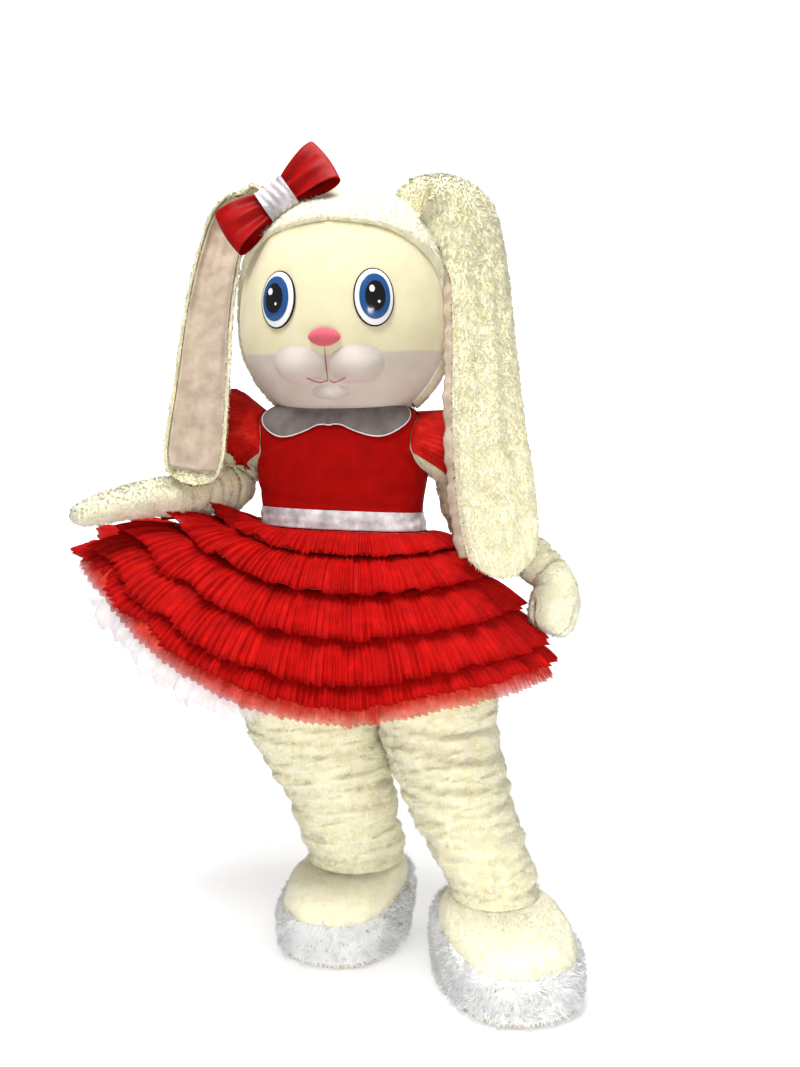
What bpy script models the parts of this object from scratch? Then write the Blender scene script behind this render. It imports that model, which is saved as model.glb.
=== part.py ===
"""Rabbit mascot costume, worn and hollow: a foam head under plush, a plush suit with mitts and shoes, and a
red dress with five pleated ruffles. Metres, +Z up, the front faces -Y and the wearer's left is +X.

Every height below is measured up from the floor. Each piece is then hung so that the frame's origin lies
between the wearer's shoulders, where the costume is held.
"""

import math

import bmesh
import bpy
from mathutils import Vector

# Driving sizes, in metres and degrees
SHOULDER_HEIGHT = 1.375
CLOTH = 0.0015
NET = 0.0012
PLUSH = 0.003
HOOD_PLUSH = 0.008
HEAD_FOAM = 0.012
EAR_FOAM = 0.009
SEAM_GAP = 0.0003
SHOE_FUR = 0.012
SOLE = 0.012
WAIST_HEIGHT = 1.0685
BELT_WIDTH = 0.046
WAIST_TILT = -0.045
BODICE_LIFT = 0.0030
ARMHOLE_LIFT = 0.0030
COLLAR_LIFT = 0.0095
BELT_LIFT = 0.0053
HOOD_LIFT = 0.0057
LINING_LIFT = 0.0006
SKIRT_LIFT = 0.0065

# Finishes: red, green, blue as linear shares, then roughness
CREAM_PLUSH = ("cream_plush", (0.86, 0.80, 0.60), 0.95)
FACE_FLEECE = ("face_fleece", (0.87, 0.82, 0.66), 0.9)
WHITE_FLEECE = ("white_fleece", (0.86, 0.84, 0.82), 0.9)
WHITE_FUR = ("white_fur", (0.86, 0.84, 0.80), 0.95)
EAR_SATIN = ("ear_satin", (0.80, 0.70, 0.66), 0.6)
RED_COTTON = ("red_cotton", (0.42, 0.012, 0.012), 0.75)
RED_TULLE = ("red_tulle", (0.55, 0.010, 0.010), 0.7)
SHEER_TULLE = ("sheer_tulle", (0.78, 0.12, 0.10), 0.7)
SHEER_WHITE = ("collar_cotton", (0.72, 0.70, 0.70), 0.8)
WHITE_NET = ("white_net", (0.84, 0.78, 0.78), 0.7)
SILVER_SATIN = ("silver_satin", (0.60, 0.59, 0.62), 0.35)
RED_SATIN = ("red_satin", (0.50, 0.012, 0.012), 0.45)
EYE_PLASTIC = ("eye_plastic", (0.88, 0.88, 0.88), 0.15)
IRIS_PLASTIC = ("iris_plastic", (0.03, 0.09, 0.30), 0.15)
PUPIL_PLASTIC = ("pupil_plastic", (0.004, 0.004, 0.005), 0.1)
NOSE_FLEECE = ("nose_fleece", (0.62, 0.09, 0.14), 0.8)
SOLE_RUBBER = ("sole_rubber", (0.55, 0.53, 0.48), 0.8)


def table(columns, *rows):
    """A short table with named columns, one dictionary for each row."""
    names = columns.split()
    return [dict(zip(names, row)) for row in rows]


# Suit and bodice sections, around the wearer's middle
TORSO = table(
    "height half_width half_depth x",
    (0.803, 0.265, 0.168, 0.062),
    (0.950, 0.232, 0.160, 0.028),
    (1.060, 0.200, 0.146, 0.003),
    (1.120, 0.194, 0.142, 0.000),
    (1.200, 0.207, 0.149, 0.000),
    (1.211, 0.209, 0.150, 0.000),
    (1.226, 0.211, 0.151, 0.000),
    (1.250, 0.213, 0.151, 0.000),
    (1.290, 0.213, 0.147, 0.000),
    (1.322, 0.208, 0.139, 0.000),
    (1.340, 0.199, 0.132, 0.000),
    (1.354, 0.178, 0.122, 0.000),
    (1.368, 0.140, 0.108, 0.000),
    (1.385, 0.105, 0.095, 0.000),
    (1.440, 0.088, 0.086, 0.000),
)
TORSO_COLUMNS = 24
TORSO_POWER = 2.25

# Armhole of the suit, an ellipse in angle and height
ARMHOLE = {"height": 1.280, "half_height": 0.062, "half_angle": 32.0}

# Arms: the line down each arm from fingertips to armhole. Mitt and sleeve meet at the cuff
RIGHT_ARM = table(
    "along x y z half_width half_thickness",
    (0.00, -0.590, -0.262, 1.098, 0.030, 0.012),
    (0.05, -0.572, -0.253, 1.108, 0.052, 0.026),
    (0.14, -0.527, -0.229, 1.124, 0.060, 0.034),
    (0.24, -0.472, -0.200, 1.138, 0.058, 0.039),
    (0.32, -0.425, -0.176, 1.148, 0.052, 0.044),
    (0.40, -0.378, -0.146, 1.152, 0.047, 0.047),
    (0.52, -0.330, -0.088, 1.162, 0.052, 0.052),
    (0.61, -0.306, -0.046, 1.168, 0.060, 0.060),
    (0.70, -0.292, -0.012, 1.178, 0.064, 0.064),
    (0.78, -0.287, 0.010, 1.208, 0.065, 0.065),
    (0.85, -0.281, 0.016, 1.243, 0.064, 0.064),
    (0.91, -0.264, 0.012, 1.271, 0.063, 0.063),
    (0.96, -0.238, 0.005, 1.286, 0.064, 0.064),
    (1.00, -0.205, 0.000, 1.290, 0.066, 0.066),
)
LEFT_ARM = table(
    "along x y z half_width half_thickness",
    (0.00, 0.502, -0.006, 0.822, 0.022, 0.026),
    (0.05, 0.508, -0.002, 0.836, 0.042, 0.050),
    (0.14, 0.518, 0.012, 0.866, 0.050, 0.060),
    (0.23, 0.523, 0.030, 0.897, 0.050, 0.059),
    (0.30, 0.524, 0.045, 0.922, 0.047, 0.052),
    (0.36, 0.516, 0.060, 0.945, 0.047, 0.047),
    (0.46, 0.486, 0.080, 0.976, 0.052, 0.052),
    (0.58, 0.424, 0.094, 1.012, 0.057, 0.057),
    (0.70, 0.354, 0.088, 1.058, 0.063, 0.063),
    (0.80, 0.312, 0.064, 1.106, 0.067, 0.067),
    (0.88, 0.300, 0.036, 1.170, 0.066, 0.066),
    (0.94, 0.284, 0.014, 1.228, 0.063, 0.063),
    (1.00, 0.205, 0.000, 1.284, 0.064, 0.064),
)
ARMS = table(
    "side sign path across cuff",
    ("right", -1, RIGHT_ARM, (0.49, -0.86, -0.15), 0.40),
    ("left", 1, LEFT_ARM, (0.0, -1.0, 0.0), 0.36),
)
SLEEVE_COLUMNS = 12
SLEEVE_ALONGS = (0.0, 0.12, 0.25, 0.38, 0.52, 0.65, 0.77, 0.87, 0.95, 1.0)
MITT_COLUMNS = 16
MITT_ALONGS = (0.0, 0.06, 0.16, 0.34, 0.56, 0.78, 1.0)
FINGER_GROOVE = 0.24

# Legs: sections from the hem at the shoe up to the crotch seam
RIGHT_LEG = table(
    "height x y half_width half_depth",
    (0.190, 0.008, 0.122, 0.118, 0.122),
    (0.235, 0.004, 0.112, 0.132, 0.130),
    (0.300, -0.006, 0.090, 0.132, 0.130),
    (0.380, -0.021, 0.068, 0.141, 0.134),
    (0.470, -0.051, 0.042, 0.156, 0.144),
    (0.570, -0.086, 0.020, 0.166, 0.152),
    (0.680, -0.108, 0.004, 0.160, 0.152),
    (0.8025, -0.074, 0.000, 0.150, 0.150),
)
LEFT_LEG = table(
    "height x y half_width half_depth",
    (0.190, 0.384, -0.058, 0.104, 0.112),
    (0.240, 0.372, -0.052, 0.113, 0.118),
    (0.310, 0.338, -0.042, 0.118, 0.122),
    (0.400, 0.298, -0.030, 0.131, 0.131),
    (0.490, 0.266, -0.020, 0.138, 0.138),
    (0.580, 0.243, -0.010, 0.144, 0.145),
    (0.680, 0.225, -0.004, 0.150, 0.150),
    (0.8025, 0.198, 0.000, 0.150, 0.150),
)
LEG_COLUMNS = 16
LEG_HEIGHTS = (
    0.190, 0.212, 0.235, 0.275, 0.315, 0.357, 0.400, 0.445, 0.490, 0.537, 0.585, 0.640, 0.720, 0.8025,
)
HIP_MIDDLE = 0.062
HIP_HALF_WIDTH = 0.262
HIP_HALF_DEPTH = 0.165

# The largest creases of the plush legs: soft troughs that run round the leg and climb to one side
LEG_CREASES = table(
    "height depth width climb facing reach",
    (0.235, 0.016, 0.017, 0.004, 10.0, 170.0),
    (0.315, 0.019, 0.020, 0.012, -30.0, 140.0),
    (0.400, 0.018, 0.021, -0.012, 40.0, 135.0),
    (0.490, 0.019, 0.022, 0.012, -10.0, 140.0),
    (0.585, 0.017, 0.023, -0.010, 20.0, 135.0),
)

# Shoes: where each stands, the way its toe points, and its size
SHOES = table(
    "side x y toe_angle length width ankle_x ankle_y",
    ("right", -0.006, 0.072, -13.0, 0.365, 0.268, 0.008, 0.125),
    ("left", 0.412, -0.132, 29.0, 0.385, 0.270, 0.383, -0.058),
)
SHOE_COLUMNS = 18
ANKLE_RADIUS = 0.088
SHOE_FUR_TOP = table(
    "turn along",
    (0.0, 0.30),
    (50.0, 0.33),
    (95.0, 0.48),
    (140.0, 0.68),
    (180.0, 0.74),
)

# Head, as a superellipsoid that is fuller at the cheeks
HEAD = {
    "x": 0.010, "y": -0.010, "height": 1.617, "half_width": 0.244, "half_depth": 0.222, "half_height": 0.262,
}
HEAD_COLUMNS = 24
HEAD_ROWS = (-54.0, -42.0, -28.0, -14.0, 0.0, 13.0, 22.0, 28.5, 33.5, 37.0, 52.0, 70.0, 90.0)
HEAD_POWER = 0.88
JAW_POWER = 0.78
CHEEK_FULLNESS = 0.075
CHIN_DROP = -0.026
HOOD_HEM = -53.0
JAW_DROP = 0.0236

# The hood's front edge: how far round from the nose it stands at each angle of rise
FACE_OPENING = table(
    "rise turn",
    (-54.0, 86.0),
    (-28.0, 84.0),
    (0.0, 80.0),
    (13.0, 72.0),
    (22.0, 60.0),
    (28.5, 46.0),
    (33.5, 29.0),
    (37.0, 0.0),
)

# Ears: a long curled leaf. Its plush back faces the heading and the lining is inside the curl
RIGHT_EAR = table(
    "along x y z half_width curl heading climb",
    (0.00, -0.140, 0.030, 1.8918, 0.052, 28.0, 20.0, 65.0),
    (0.07, -0.188, 0.018, 1.914, 0.056, 30.0, 20.0, 82.0),
    (0.14, -0.245, 0.002, 1.904, 0.058, 32.0, 250.0, 72.0),
    (0.21, -0.284, -0.016, 1.856, 0.058, 36.0, 235.0, 38.0),
    (0.32, -0.2952, -0.044, 1.760, 0.059, 42.0, 205.0, 8.0),
    (0.50, -0.3020, -0.088, 1.600, 0.070, 45.0, 182.0, 0.0),
    (0.72, -0.306, -0.135, 1.400, 0.080, 46.0, 180.0, 0.0),
    (0.90, -0.313, -0.170, 1.250, 0.084, 44.0, 182.0, 0.0),
    (0.97, -0.318, -0.182, 1.195, 0.068, 40.0, 185.0, 0.0),
    (1.00, -0.320, -0.186, 1.176, 0.046, 36.0, 185.0, 0.0),
)
LEFT_EAR = table(
    "along x y z half_width curl heading climb",
    (0.00, 0.160, -0.010, 1.8525, 0.060, 26.0, 10.0, 35.0),
    (0.06, 0.208, -0.012, 1.905, 0.064, 24.0, 18.0, 52.0),
    (0.12, 0.267, -0.018, 1.911, 0.070, 25.0, 32.0, 58.0),
    (0.20, 0.327, -0.034, 1.850, 0.078, 31.0, 38.0, 28.0),
    (0.32, 0.352, -0.060, 1.712, 0.080, 38.0, 28.0, 4.0),
    (0.50, 0.364, -0.100, 1.520, 0.084, 38.0, 18.0, 0.0),
    (0.68, 0.376, -0.138, 1.320, 0.094, 38.0, 12.0, 0.0),
    (0.85, 0.396, -0.164, 1.130, 0.099, 36.0, 8.0, 0.0),
    (0.95, 0.406, -0.174, 1.020, 0.084, 32.0, 6.0, 0.0),
    (1.00, 0.410, -0.178, 0.966, 0.048, 28.0, 6.0, 0.0),
)
EARS = table(
    "side path lining",
    ("right", RIGHT_EAR, (-0.80, -0.42, 0.0, 0.42, 0.80)),
    ("left", LEFT_EAR, (-0.80, -0.42, 0.0, 0.42, 0.80, 1.0, 1.2)),
)
EAR_COLUMNS = (-1.0, -0.80, -0.42, 0.0, 0.42, 0.80, 1.0)
EAR_ROWS = (0.0, 0.07, 0.14, 0.21, 0.30, 0.42, 0.56, 0.72, 0.85, 0.95, 1.0)

# Bow on the hood: its knot, the way its right-hand loop points and the way it faces
BOW = {
    "knot": (-0.129, -0.1557, 1.8405), "along": (0.81, 0.05, 0.57), "facing": (-0.15, -0.93, 0.33),
}
BOW_ROOT = 0.030
BOW_REACH = 0.150
BOW_ROOT_HALF_WIDTH = 0.0375
BOW_END_HALF_WIDTH = 0.066
BOW_HALF_THICKNESS = 0.020
KNOT_HALF_LENGTH = 0.037
KNOT_HALF_WIDTH = 0.0415
KNOT_HALF_THICKNESS = 0.0215

# The skirt's middle line and hem at each angle round the waist. The wearer's right side is held up
SKIRT = table(
    "angle knee_reach knee_height hem_reach hem_height petticoat_drop",
    (-180.0, 0.325, 0.950, 0.430, 0.700, 0.000),
    (-140.0, 0.360, 0.985, 0.500, 0.765, 0.010),
    (-105.0, 0.440, 1.075, 0.620, 0.925, 0.020),
    (-77.0, 0.500, 1.125, 0.650, 0.994, 0.028),
    (-59.0, 0.420, 1.085, 0.560, 0.888, 0.040),
    (-36.0, 0.360, 1.010, 0.500, 0.784, 0.038),
    (-19.0, 0.330, 0.965, 0.465, 0.724, 0.020),
    (10.0, 0.310, 0.940, 0.420, 0.673, -0.020),
    (45.0, 0.315, 0.945, 0.430, 0.695, -0.040),
    (75.0, 0.350, 0.965, 0.490, 0.712, -0.020),
    (99.0, 0.375, 0.975, 0.525, 0.710, -0.008),
    (135.0, 0.345, 0.955, 0.465, 0.700, -0.020),
)
SKIRT_COLUMNS = 32
SKIRT_ROWS = 3

# Ruffles: where each is sewn on and where it ends, as shares of the skirt's length from waist to hem
RUFFLES = table(
    "name top hem pleats seat flare wave",
    ("ruffle_1", 0.002, 0.21, 20, 0.0020, 0.016, 0.0060),
    ("ruffle_2", 0.170, 0.45, 27, -0.0031, 0.028, 0.0085),
    ("ruffle_3", 0.400, 0.67, 31, -0.0073, 0.032, 0.0090),
    ("ruffle_4", 0.620, 0.86, 34, -0.0071, 0.032, 0.0090),
    ("ruffle_5", 0.820, 0.965, 30, -0.0082, 0.020, 0.0040),
)

# Collar: how low its outer edge lies at each angle round the neck
COLLAR_EDGE = table(
    "angle height",
    (2.0, 1.330),
    (12.0, 1.304),
    (30.0, 1.290),
    (48.0, 1.314),
    (64.0, 1.350),
    (78.0, 1.370),
    (95.0, 1.374),
    (120.0, 1.345),
    (150.0, 1.320),
    (168.0, 1.326),
    (178.0, 1.342),
)
COLLAR_TOP = 1.402

# Cap sleeves of the dress
FLUTTER_PLEATS = 9
FLUTTER_HALF_ANGLE = 112.0
FLUTTER_LIFT = 0.0064
FLUTTER_LENGTH = 0.062

# Face pieces: where each sits on the head and its size. A plain rabbit's face
FACE = table(
    "name turn rise half_width half_height height squareness seat finish",
    ("eye_right", -24.0, -3.5, 0.042, 0.051, 0.012, 2.0, 0.0022, EYE_PLASTIC),
    ("eye_left", 24.0, -3.5, 0.042, 0.051, 0.012, 2.0, 0.0022, EYE_PLASTIC),
    ("muzzle_right", -16.5, -33.0, 0.056, 0.042, 0.030, 2.2, 0.0030, WHITE_FLEECE),
    ("muzzle_left", 16.5, -33.0, 0.056, 0.042, 0.030, 2.2, 0.0030, WHITE_FLEECE),
    ("chin", 0.0, -47.0, 0.036, 0.019, 0.012, 2.0, 0.0010, WHITE_FLEECE),
    ("nose", 0.0, -20.0, 0.029, 0.018, 0.018, 1.7, 0.0008, NOSE_FLEECE),
)
IRIS_SHARE = 0.72
PUPIL_SHARE = 0.40


def smooth_row(rows, at):
    """The row at a place between a table's rows, on a smooth curve through them. The first column is the key."""
    key = next(iter(rows[0]))
    if at <= rows[0][key]:
        return rows[0]
    if at >= rows[-1][key]:
        return rows[-1]
    i = next(k for k in range(len(rows) - 1) if at <= rows[k + 1][key])
    low, high = rows[i], rows[i + 1]
    before, after = rows[max(i - 1, 0)], rows[min(i + 2, len(rows) - 1)]
    span = high[key] - low[key]
    t = (at - low[key]) / span
    found = {key: at}
    for column in low:
        if column == key:
            continue
        start = (high[column] - before[column]) / (high[key] - before[key]) * span
        end = (after[column] - low[column]) / (after[key] - low[key]) * span
        found[column] = (
            (2 * t**3 - 3 * t**2 + 1) * low[column]
            + (t**3 - 2 * t**2 + t) * start
            + (3 * t**2 - 2 * t**3) * high[column]
            + (t**3 - t**2) * end
        )
    return found


def all_round(rows):
    """A table keyed by angle, repeated so that it reads the same all the way round."""
    return [{**row, "angle": row["angle"] + turn} for turn in (-360.0, 0.0, 360.0) for row in rows]


def evenly(count):
    return [i / count for i in range(count + 1)]


def ease(t):
    t = min(max(t, 0.0), 1.0)
    return t * t * (3 - 2 * t)


def power(value, exponent):
    return math.copysign(abs(value) ** exponent, value)


def material_of(finish):
    name, colour, roughness = finish
    found = bpy.data.materials.get(name)
    if found is None:
        found = bpy.data.materials.new(name)
        found.use_nodes = True
        shader = found.node_tree.nodes["Principled BSDF"]
        shader.inputs["Base Color"].default_value = (*colour, 1.0)
        shader.inputs["Roughness"].default_value = roughness
        shader.inputs["Metallic"].default_value = 0.0
    return found


def place(name, bm, finish):
    """Makes the piece's object, and hangs it from the origin between the shoulders."""
    bmesh.ops.remove_doubles(bm, verts=bm.verts, dist=1e-6)
    bmesh.ops.recalc_face_normals(bm, faces=bm.faces)
    mesh = bpy.data.meshes.new(name)
    bm.to_mesh(mesh)
    bm.free()
    mesh.materials.append(material_of(finish))
    mesh.shade_smooth()
    piece = bpy.data.objects.new(name, mesh)
    piece.location.z = -SHOULDER_HEIGHT
    bpy.context.scene.collection.objects.link(piece)
    return piece


def triangle(bm, a, b, c):
    if len({a, b, c}) == 3:
        bm.faces.new((a, b, c))


def wall(name, surface, arounds, alongs, lifts, finish, closed=False, tip=False):
    """Cloth as one closed wall. surface(around, along, lift) gives its points at two lifts, inner and outer.

    closed joins the last column to the first, and tip draws the last row to one point.
    """
    bm = bmesh.new()
    columns = arounds[:-1] if closed else arounds
    faces = []
    for lift in lifts:
        grid = []
        for b in alongs[:-1] if tip else alongs:
            grid.append([bm.verts.new(surface(a, b, lift)) for a in columns])
        if tip:
            middle = sum((surface(a, alongs[-1], lift) for a in columns), Vector()) / len(columns)
            grid.append([bm.verts.new(middle)] * len(columns))
        faces.append(grid)
    inner, outer = faces
    steps = len(arounds) - 1
    for j in range(len(alongs) - 1):
        for i in range(steps):
            k = (i + 1) % len(columns)
            for grid in faces:
                triangle(bm, grid[j][i], grid[j][k], grid[j + 1][k])
                triangle(bm, grid[j][i], grid[j + 1][k], grid[j + 1][i])
    for j in (0, len(alongs) - 1):
        for i in range(steps):
            k = (i + 1) % len(columns)
            triangle(bm, outer[j][i], outer[j][k], inner[j][k])
            triangle(bm, outer[j][i], inner[j][k], inner[j][i])
    if not closed:
        for j in range(len(alongs) - 1):
            joined = [(inner[k][0].co - inner[k][-1].co).length < 1e-5 for k in (j, j + 1)]
            if all(joined):
                continue
            for i in (0, len(columns) - 1):
                triangle(bm, outer[j][i], outer[j + 1][i], inner[j + 1][i])
                triangle(bm, outer[j][i], inner[j + 1][i], inner[j][i])
    return place(name, bm, finish)


def facing(surface, around, along):
    """The outward direction of surface(around, along)."""
    step = 1e-3
    across = surface(around + step, along) - surface(around - step, along)
    up = surface(around, min(along + step, 1.0)) - surface(around, max(along - step, 0.0))
    return across.cross(up).normalized()


def faceted(surface, arounds, alongs):
    """The flat faces that wall() makes of a surface at these columns and rows, so that trim can lie on them."""

    def cell(values, at):
        i = 0
        while i < len(values) - 2 and at > values[i + 1]:
            i += 1
        return i, (at - values[i]) / (values[i + 1] - values[i])

    def point(around, along):
        i, s = cell(arounds, around)
        j, t = cell(alongs, along)
        low, high = surface(arounds[i], alongs[j]), surface(arounds[i + 1], alongs[j + 1])
        if s >= t:
            corner = surface(arounds[i + 1], alongs[j])
            return low + (corner - low) * s + (high - corner) * t
        corner = surface(arounds[i], alongs[j + 1])
        return low + (corner - low) * t + (high - corner) * s

    return point


def ring(angle, half_width, half_depth, exponent=2.0):
    """A point of a rounded outline. Angle 0 is the front, -Y, and 90 degrees is +X."""
    a = math.radians(angle)
    across = half_width * power(math.sin(a), 2 / exponent)
    return Vector((across, -half_depth * power(math.cos(a), 2 / exponent), 0))


# Suit body and bodice
TORSO_LOW = TORSO[0]["height"]
TORSO_SPAN = TORSO[-1]["height"] - TORSO_LOW
TORSO_ALONGS = [(row["height"] - TORSO_LOW) / TORSO_SPAN for row in TORSO]
TORSO_AROUNDS = [i / TORSO_COLUMNS for i in range(-TORSO_COLUMNS, TORSO_COLUMNS + 1)]


def torso(around, along):
    """The suit's outer face. around 0 is the front, 0.25 the wearer's left side."""
    row = smooth_row(TORSO, TORSO_LOW + along * TORSO_SPAN)
    point = ring(around * 360, row["half_width"], row["half_depth"], TORSO_POWER)
    return point + Vector((row["x"], 0, row["height"]))


torso_faces = faceted(torso, TORSO_AROUNDS, TORSO_ALONGS)


def on_torso(angle, height, lift):
    """A point over the suit's flat faces, lifted off them."""
    around, along = angle / 360, (height - TORSO_LOW) / TORSO_SPAN
    out = facing(torso, around, along)
    if along <= 0.0:
        out = Vector((out.x, out.y, 0)).normalized()
    return torso_faces(around, along) + out * lift


def armhole_turn(height, margin):
    """How far from the side seam the armhole's edge lies at a height, in degrees."""
    share = (height - ARMHOLE["height"]) / (ARMHOLE["half_height"] + margin)
    if abs(share) >= 1:
        return 0.0
    return (ARMHOLE["half_angle"] + math.degrees(margin / 0.19)) * math.sqrt(1 - share * share)


def body_panel(name, first, last, bottom, heights, lifts, margin, finish):
    """A panel of the suit or bodice between two angles, cut away round the armholes at its side seams."""
    gap = math.degrees(SEAM_GAP / 2 / 0.15)
    step = 360 / TORSO_COLUMNS
    inside = [k * step for k in range(-TORSO_COLUMNS, TORSO_COLUMNS + 1) if first < k * step < last]

    def surface(angle, height, lift):
        height = max(height, bottom(angle))
        low = first + max(gap, armhole_turn(height, margin) if first % 180 else 0.0)
        high = last - max(gap, armhole_turn(height, margin) if last % 180 else 0.0)
        return on_torso(min(max(angle, low), high), height, lift)

    return wall(name, surface, [first, *inside, last], heights, lifts, finish)


def waist(angle, above=0.0):
    """The height of the skirt's seam at an angle round the body. The waist slopes down to the wearer's left."""
    return WAIST_HEIGHT + above + WAIST_TILT * 0.195 * math.sin(math.radians(angle))


def suit_body():
    heights = [row["height"] for row in TORSO]
    for name, first, last in (("body_front", -90.0, 90.0), ("body_back", 90.0, 270.0)):
        body_panel(name, first, last, lambda angle: 0.0, heights, (-PLUSH, 0.0), 0.0, CREAM_PLUSH)


def bodice():
    heights = [WAIST_HEIGHT - 0.012] + [row["height"] for row in TORSO if 1.10 < row["height"] < 1.39]
    lifts = (BODICE_LIFT, BODICE_LIFT + CLOTH)
    for name, first, last in (
        ("bodice_front", -90.0, 90.0),
        ("bodice_back_left", 90.0, 180.0),
        ("bodice_back_right", 180.0, 270.0),
    ):
        body_panel(
            name, first, last, lambda angle: waist(angle, 0.001), heights, lifts, 0.010, RED_COTTON,
        )


def belt():
    """The satin waistband, over the bodice's lower edge and just above the skirt."""
    angles = [i * 360 / TORSO_COLUMNS for i in range(TORSO_COLUMNS + 1)]

    def surface(angle, across, lift):
        return on_torso(angle, waist(angle, 0.0050 + across * BELT_WIDTH), lift)

    lifts = (BELT_LIFT, BELT_LIFT + CLOTH)
    wall("belt", surface, angles, (0.0, 1.0), lifts, SILVER_SATIN, closed=True)


def collar():
    """Two flat lobes from the centre front round to the centre back."""
    heights = (1.290, 1.322, 1.340, 1.354, 1.368, 1.385, COLLAR_TOP)
    angles = [2.0, 7.0, 15.0, 30.0, 45.0, 54.0, 64.0, 75.0, 90.0, 105.0]
    angles += [120.0, 135.0, 150.0, 165.0, 173.0, 178.0]
    for name, side in (("collar_left", 1), ("collar_right", -1)):

        def surface(angle, height, lift):
            edge = smooth_row(COLLAR_EDGE, angle)["height"]
            return on_torso(side * angle, max(height, edge), lift)

        wall(name, surface, angles, heights, (COLLAR_LIFT, COLLAR_LIFT + CLOTH), SHEER_WHITE)


# Arms
def limb(path, along, across):
    """The middle of a limb, its two cross directions and its row, at a place along its path."""
    row = smooth_row(path, along)
    ahead = smooth_row(path, min(along + 0.01, 1.0))
    behind = smooth_row(path, max(along - 0.01, 0.0))
    tangent = (middle_of(ahead) - middle_of(behind)).normalized()
    width = Vector(across)
    width = (width - tangent * width.dot(tangent)).normalized()
    return middle_of(row), width, tangent.cross(width), row


def middle_of(row):
    return Vector((row["x"], row["y"], row["z"]))


def armhole_ring(sign, turn, margin, lift):
    """A point round the armhole's edge, moved out from the edge and off the suit."""
    angle = sign * (90 - (ARMHOLE["half_angle"] + math.degrees(margin / 0.19)) * math.cos(turn))
    height = ARMHOLE["height"] + sign * (ARMHOLE["half_height"] + margin) * math.sin(turn)
    return on_torso(angle, height, lift)


def sleeves():
    for arm in ARMS:
        gap = SEAM_GAP / 0.9

        def surface(around, along, lift):
            turn = around * math.tau
            if along == 1.0:
                return armhole_ring(arm["sign"], turn, 0.004 + lift, ARMHOLE_LIFT)
            place_on_arm = arm["cuff"] + gap + along * (1 - arm["cuff"] - gap)
            middle, width, thick, row = limb(arm["path"], place_on_arm, arm["across"])
            across = width * (row["half_width"] + lift) * math.cos(turn)
            return middle + across + thick * (row["half_thickness"] + lift) * math.sin(turn)

        columns = evenly(SLEEVE_COLUMNS)
        wall(f"sleeve_{arm['side']}", surface, columns, SLEEVE_ALONGS, (-PLUSH, 0.0), CREAM_PLUSH, closed=True)


def mitts():
    """Four fingers sewn as grooves into the outer half of each mitt."""
    for arm in ARMS:

        def surface(around, along, lift):
            turn = around * math.tau
            middle, width, thick, row = limb(arm["path"], along * arm["cuff"], arm["across"])
            fade = ease((0.62 - along) / 0.3)
            side = math.cos(turn)
            groove = max(1 - abs(abs(side) - 0.5) / 0.2, 1 - abs(side) / 0.2, 0.0)
            thickness = row["half_thickness"] * (1 - FINGER_GROOVE * fade * groove) + lift
            return middle + width * (row["half_width"] + lift) * side + thick * thickness * math.sin(turn)

        wall(
            f"mitt_{arm['side']}", surface, evenly(MITT_COLUMNS), MITT_ALONGS[::-1], (-PLUSH, 0.0),
            CREAM_PLUSH, closed=True, tip=True,
        )


def flutter_sleeves():
    """A sheer cap of pleats over the top of each sleeve."""
    rows = (0.0, 0.35, 1.0)
    columns = 2 * FLUTTER_PLEATS
    for arm in ARMS:

        def surface(around, along, lift):
            turn = math.radians(arm["sign"] * (90 + (around - 0.5) * 2 * FLUTTER_HALF_ANGLE))
            if along == 0.0:
                return armhole_ring(arm["sign"], turn, 0.009, FLUTTER_LIFT + lift)
            middle, width, thick, row = limb(arm["path"], 0.972 - FLUTTER_LENGTH * along, arm["across"])
            edge = 1 - abs(around - 0.5) * 2
            flare = 0.013 + 0.028 * ease(edge * 2.4) * (1 - 0.25 * along)
            wave = 0.006 * along * math.cos(around * columns * math.pi)
            reach = row["half_width"] + flare + wave + lift
            return middle + (width * math.cos(turn) + thick * math.sin(turn)) * reach

        wall(f"flutter_sleeve_{arm['side']}", surface, evenly(columns), rows, (0.0, NET), SHEER_TULLE)


# Legs
def leg_surface(sign, path):
    low = path[0]["height"]
    span = path[-1]["height"] - low

    def surface(around, along):
        height = low + along * span
        row = smooth_row(path, height)
        angle = (around * 360 + 180) % 360 - 180
        crease = 0.0
        for fold in LEG_CREASES:
            off = (angle - sign * fold["facing"] + 180) % 360 - 180
            middle = fold["height"] + sign * fold["climb"] * math.sin(math.radians(angle))
            near = ease(1 - abs(off) / fold["reach"]) * ease(1 - abs(height - middle) / (2 * fold["width"]))
            crease += fold["depth"] * near
        point = ring(angle, row["half_width"] - crease, row["half_depth"] - crease)
        point += Vector((row["x"], row["y"], 0))
        outer = ring(angle, HIP_HALF_WIDTH, HIP_HALF_DEPTH, TORSO_POWER)
        if sign * math.sin(math.radians(angle)) <= 0.0:
            outer.x = 0.0
        hip = Vector((HIP_MIDDLE + sign * SEAM_GAP + outer.x, outer.y, 0))
        share = ease((height - 0.66) / (path[-1]["height"] - 0.66))
        found = point.lerp(hip, share)
        found.z = height
        return found

    return surface


def legs():
    low, high = RIGHT_LEG[0]["height"], RIGHT_LEG[-1]["height"]
    alongs = [(height - low) / (high - low) for height in LEG_HEIGHTS]
    for side, sign, path in (("right", -1, RIGHT_LEG), ("left", 1, LEFT_LEG)):
        shape = leg_surface(sign, path)

        def surface(around, along, lift):
            middle = (shape(0.25, along) + shape(0.75, along)) / 2
            point = shape(around, along)
            return point + (point - middle).normalized() * lift

        wall(f"leg_{side}", surface, evenly(LEG_COLUMNS), alongs, (-PLUSH, 0.0), CREAM_PLUSH, closed=True)


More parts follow.
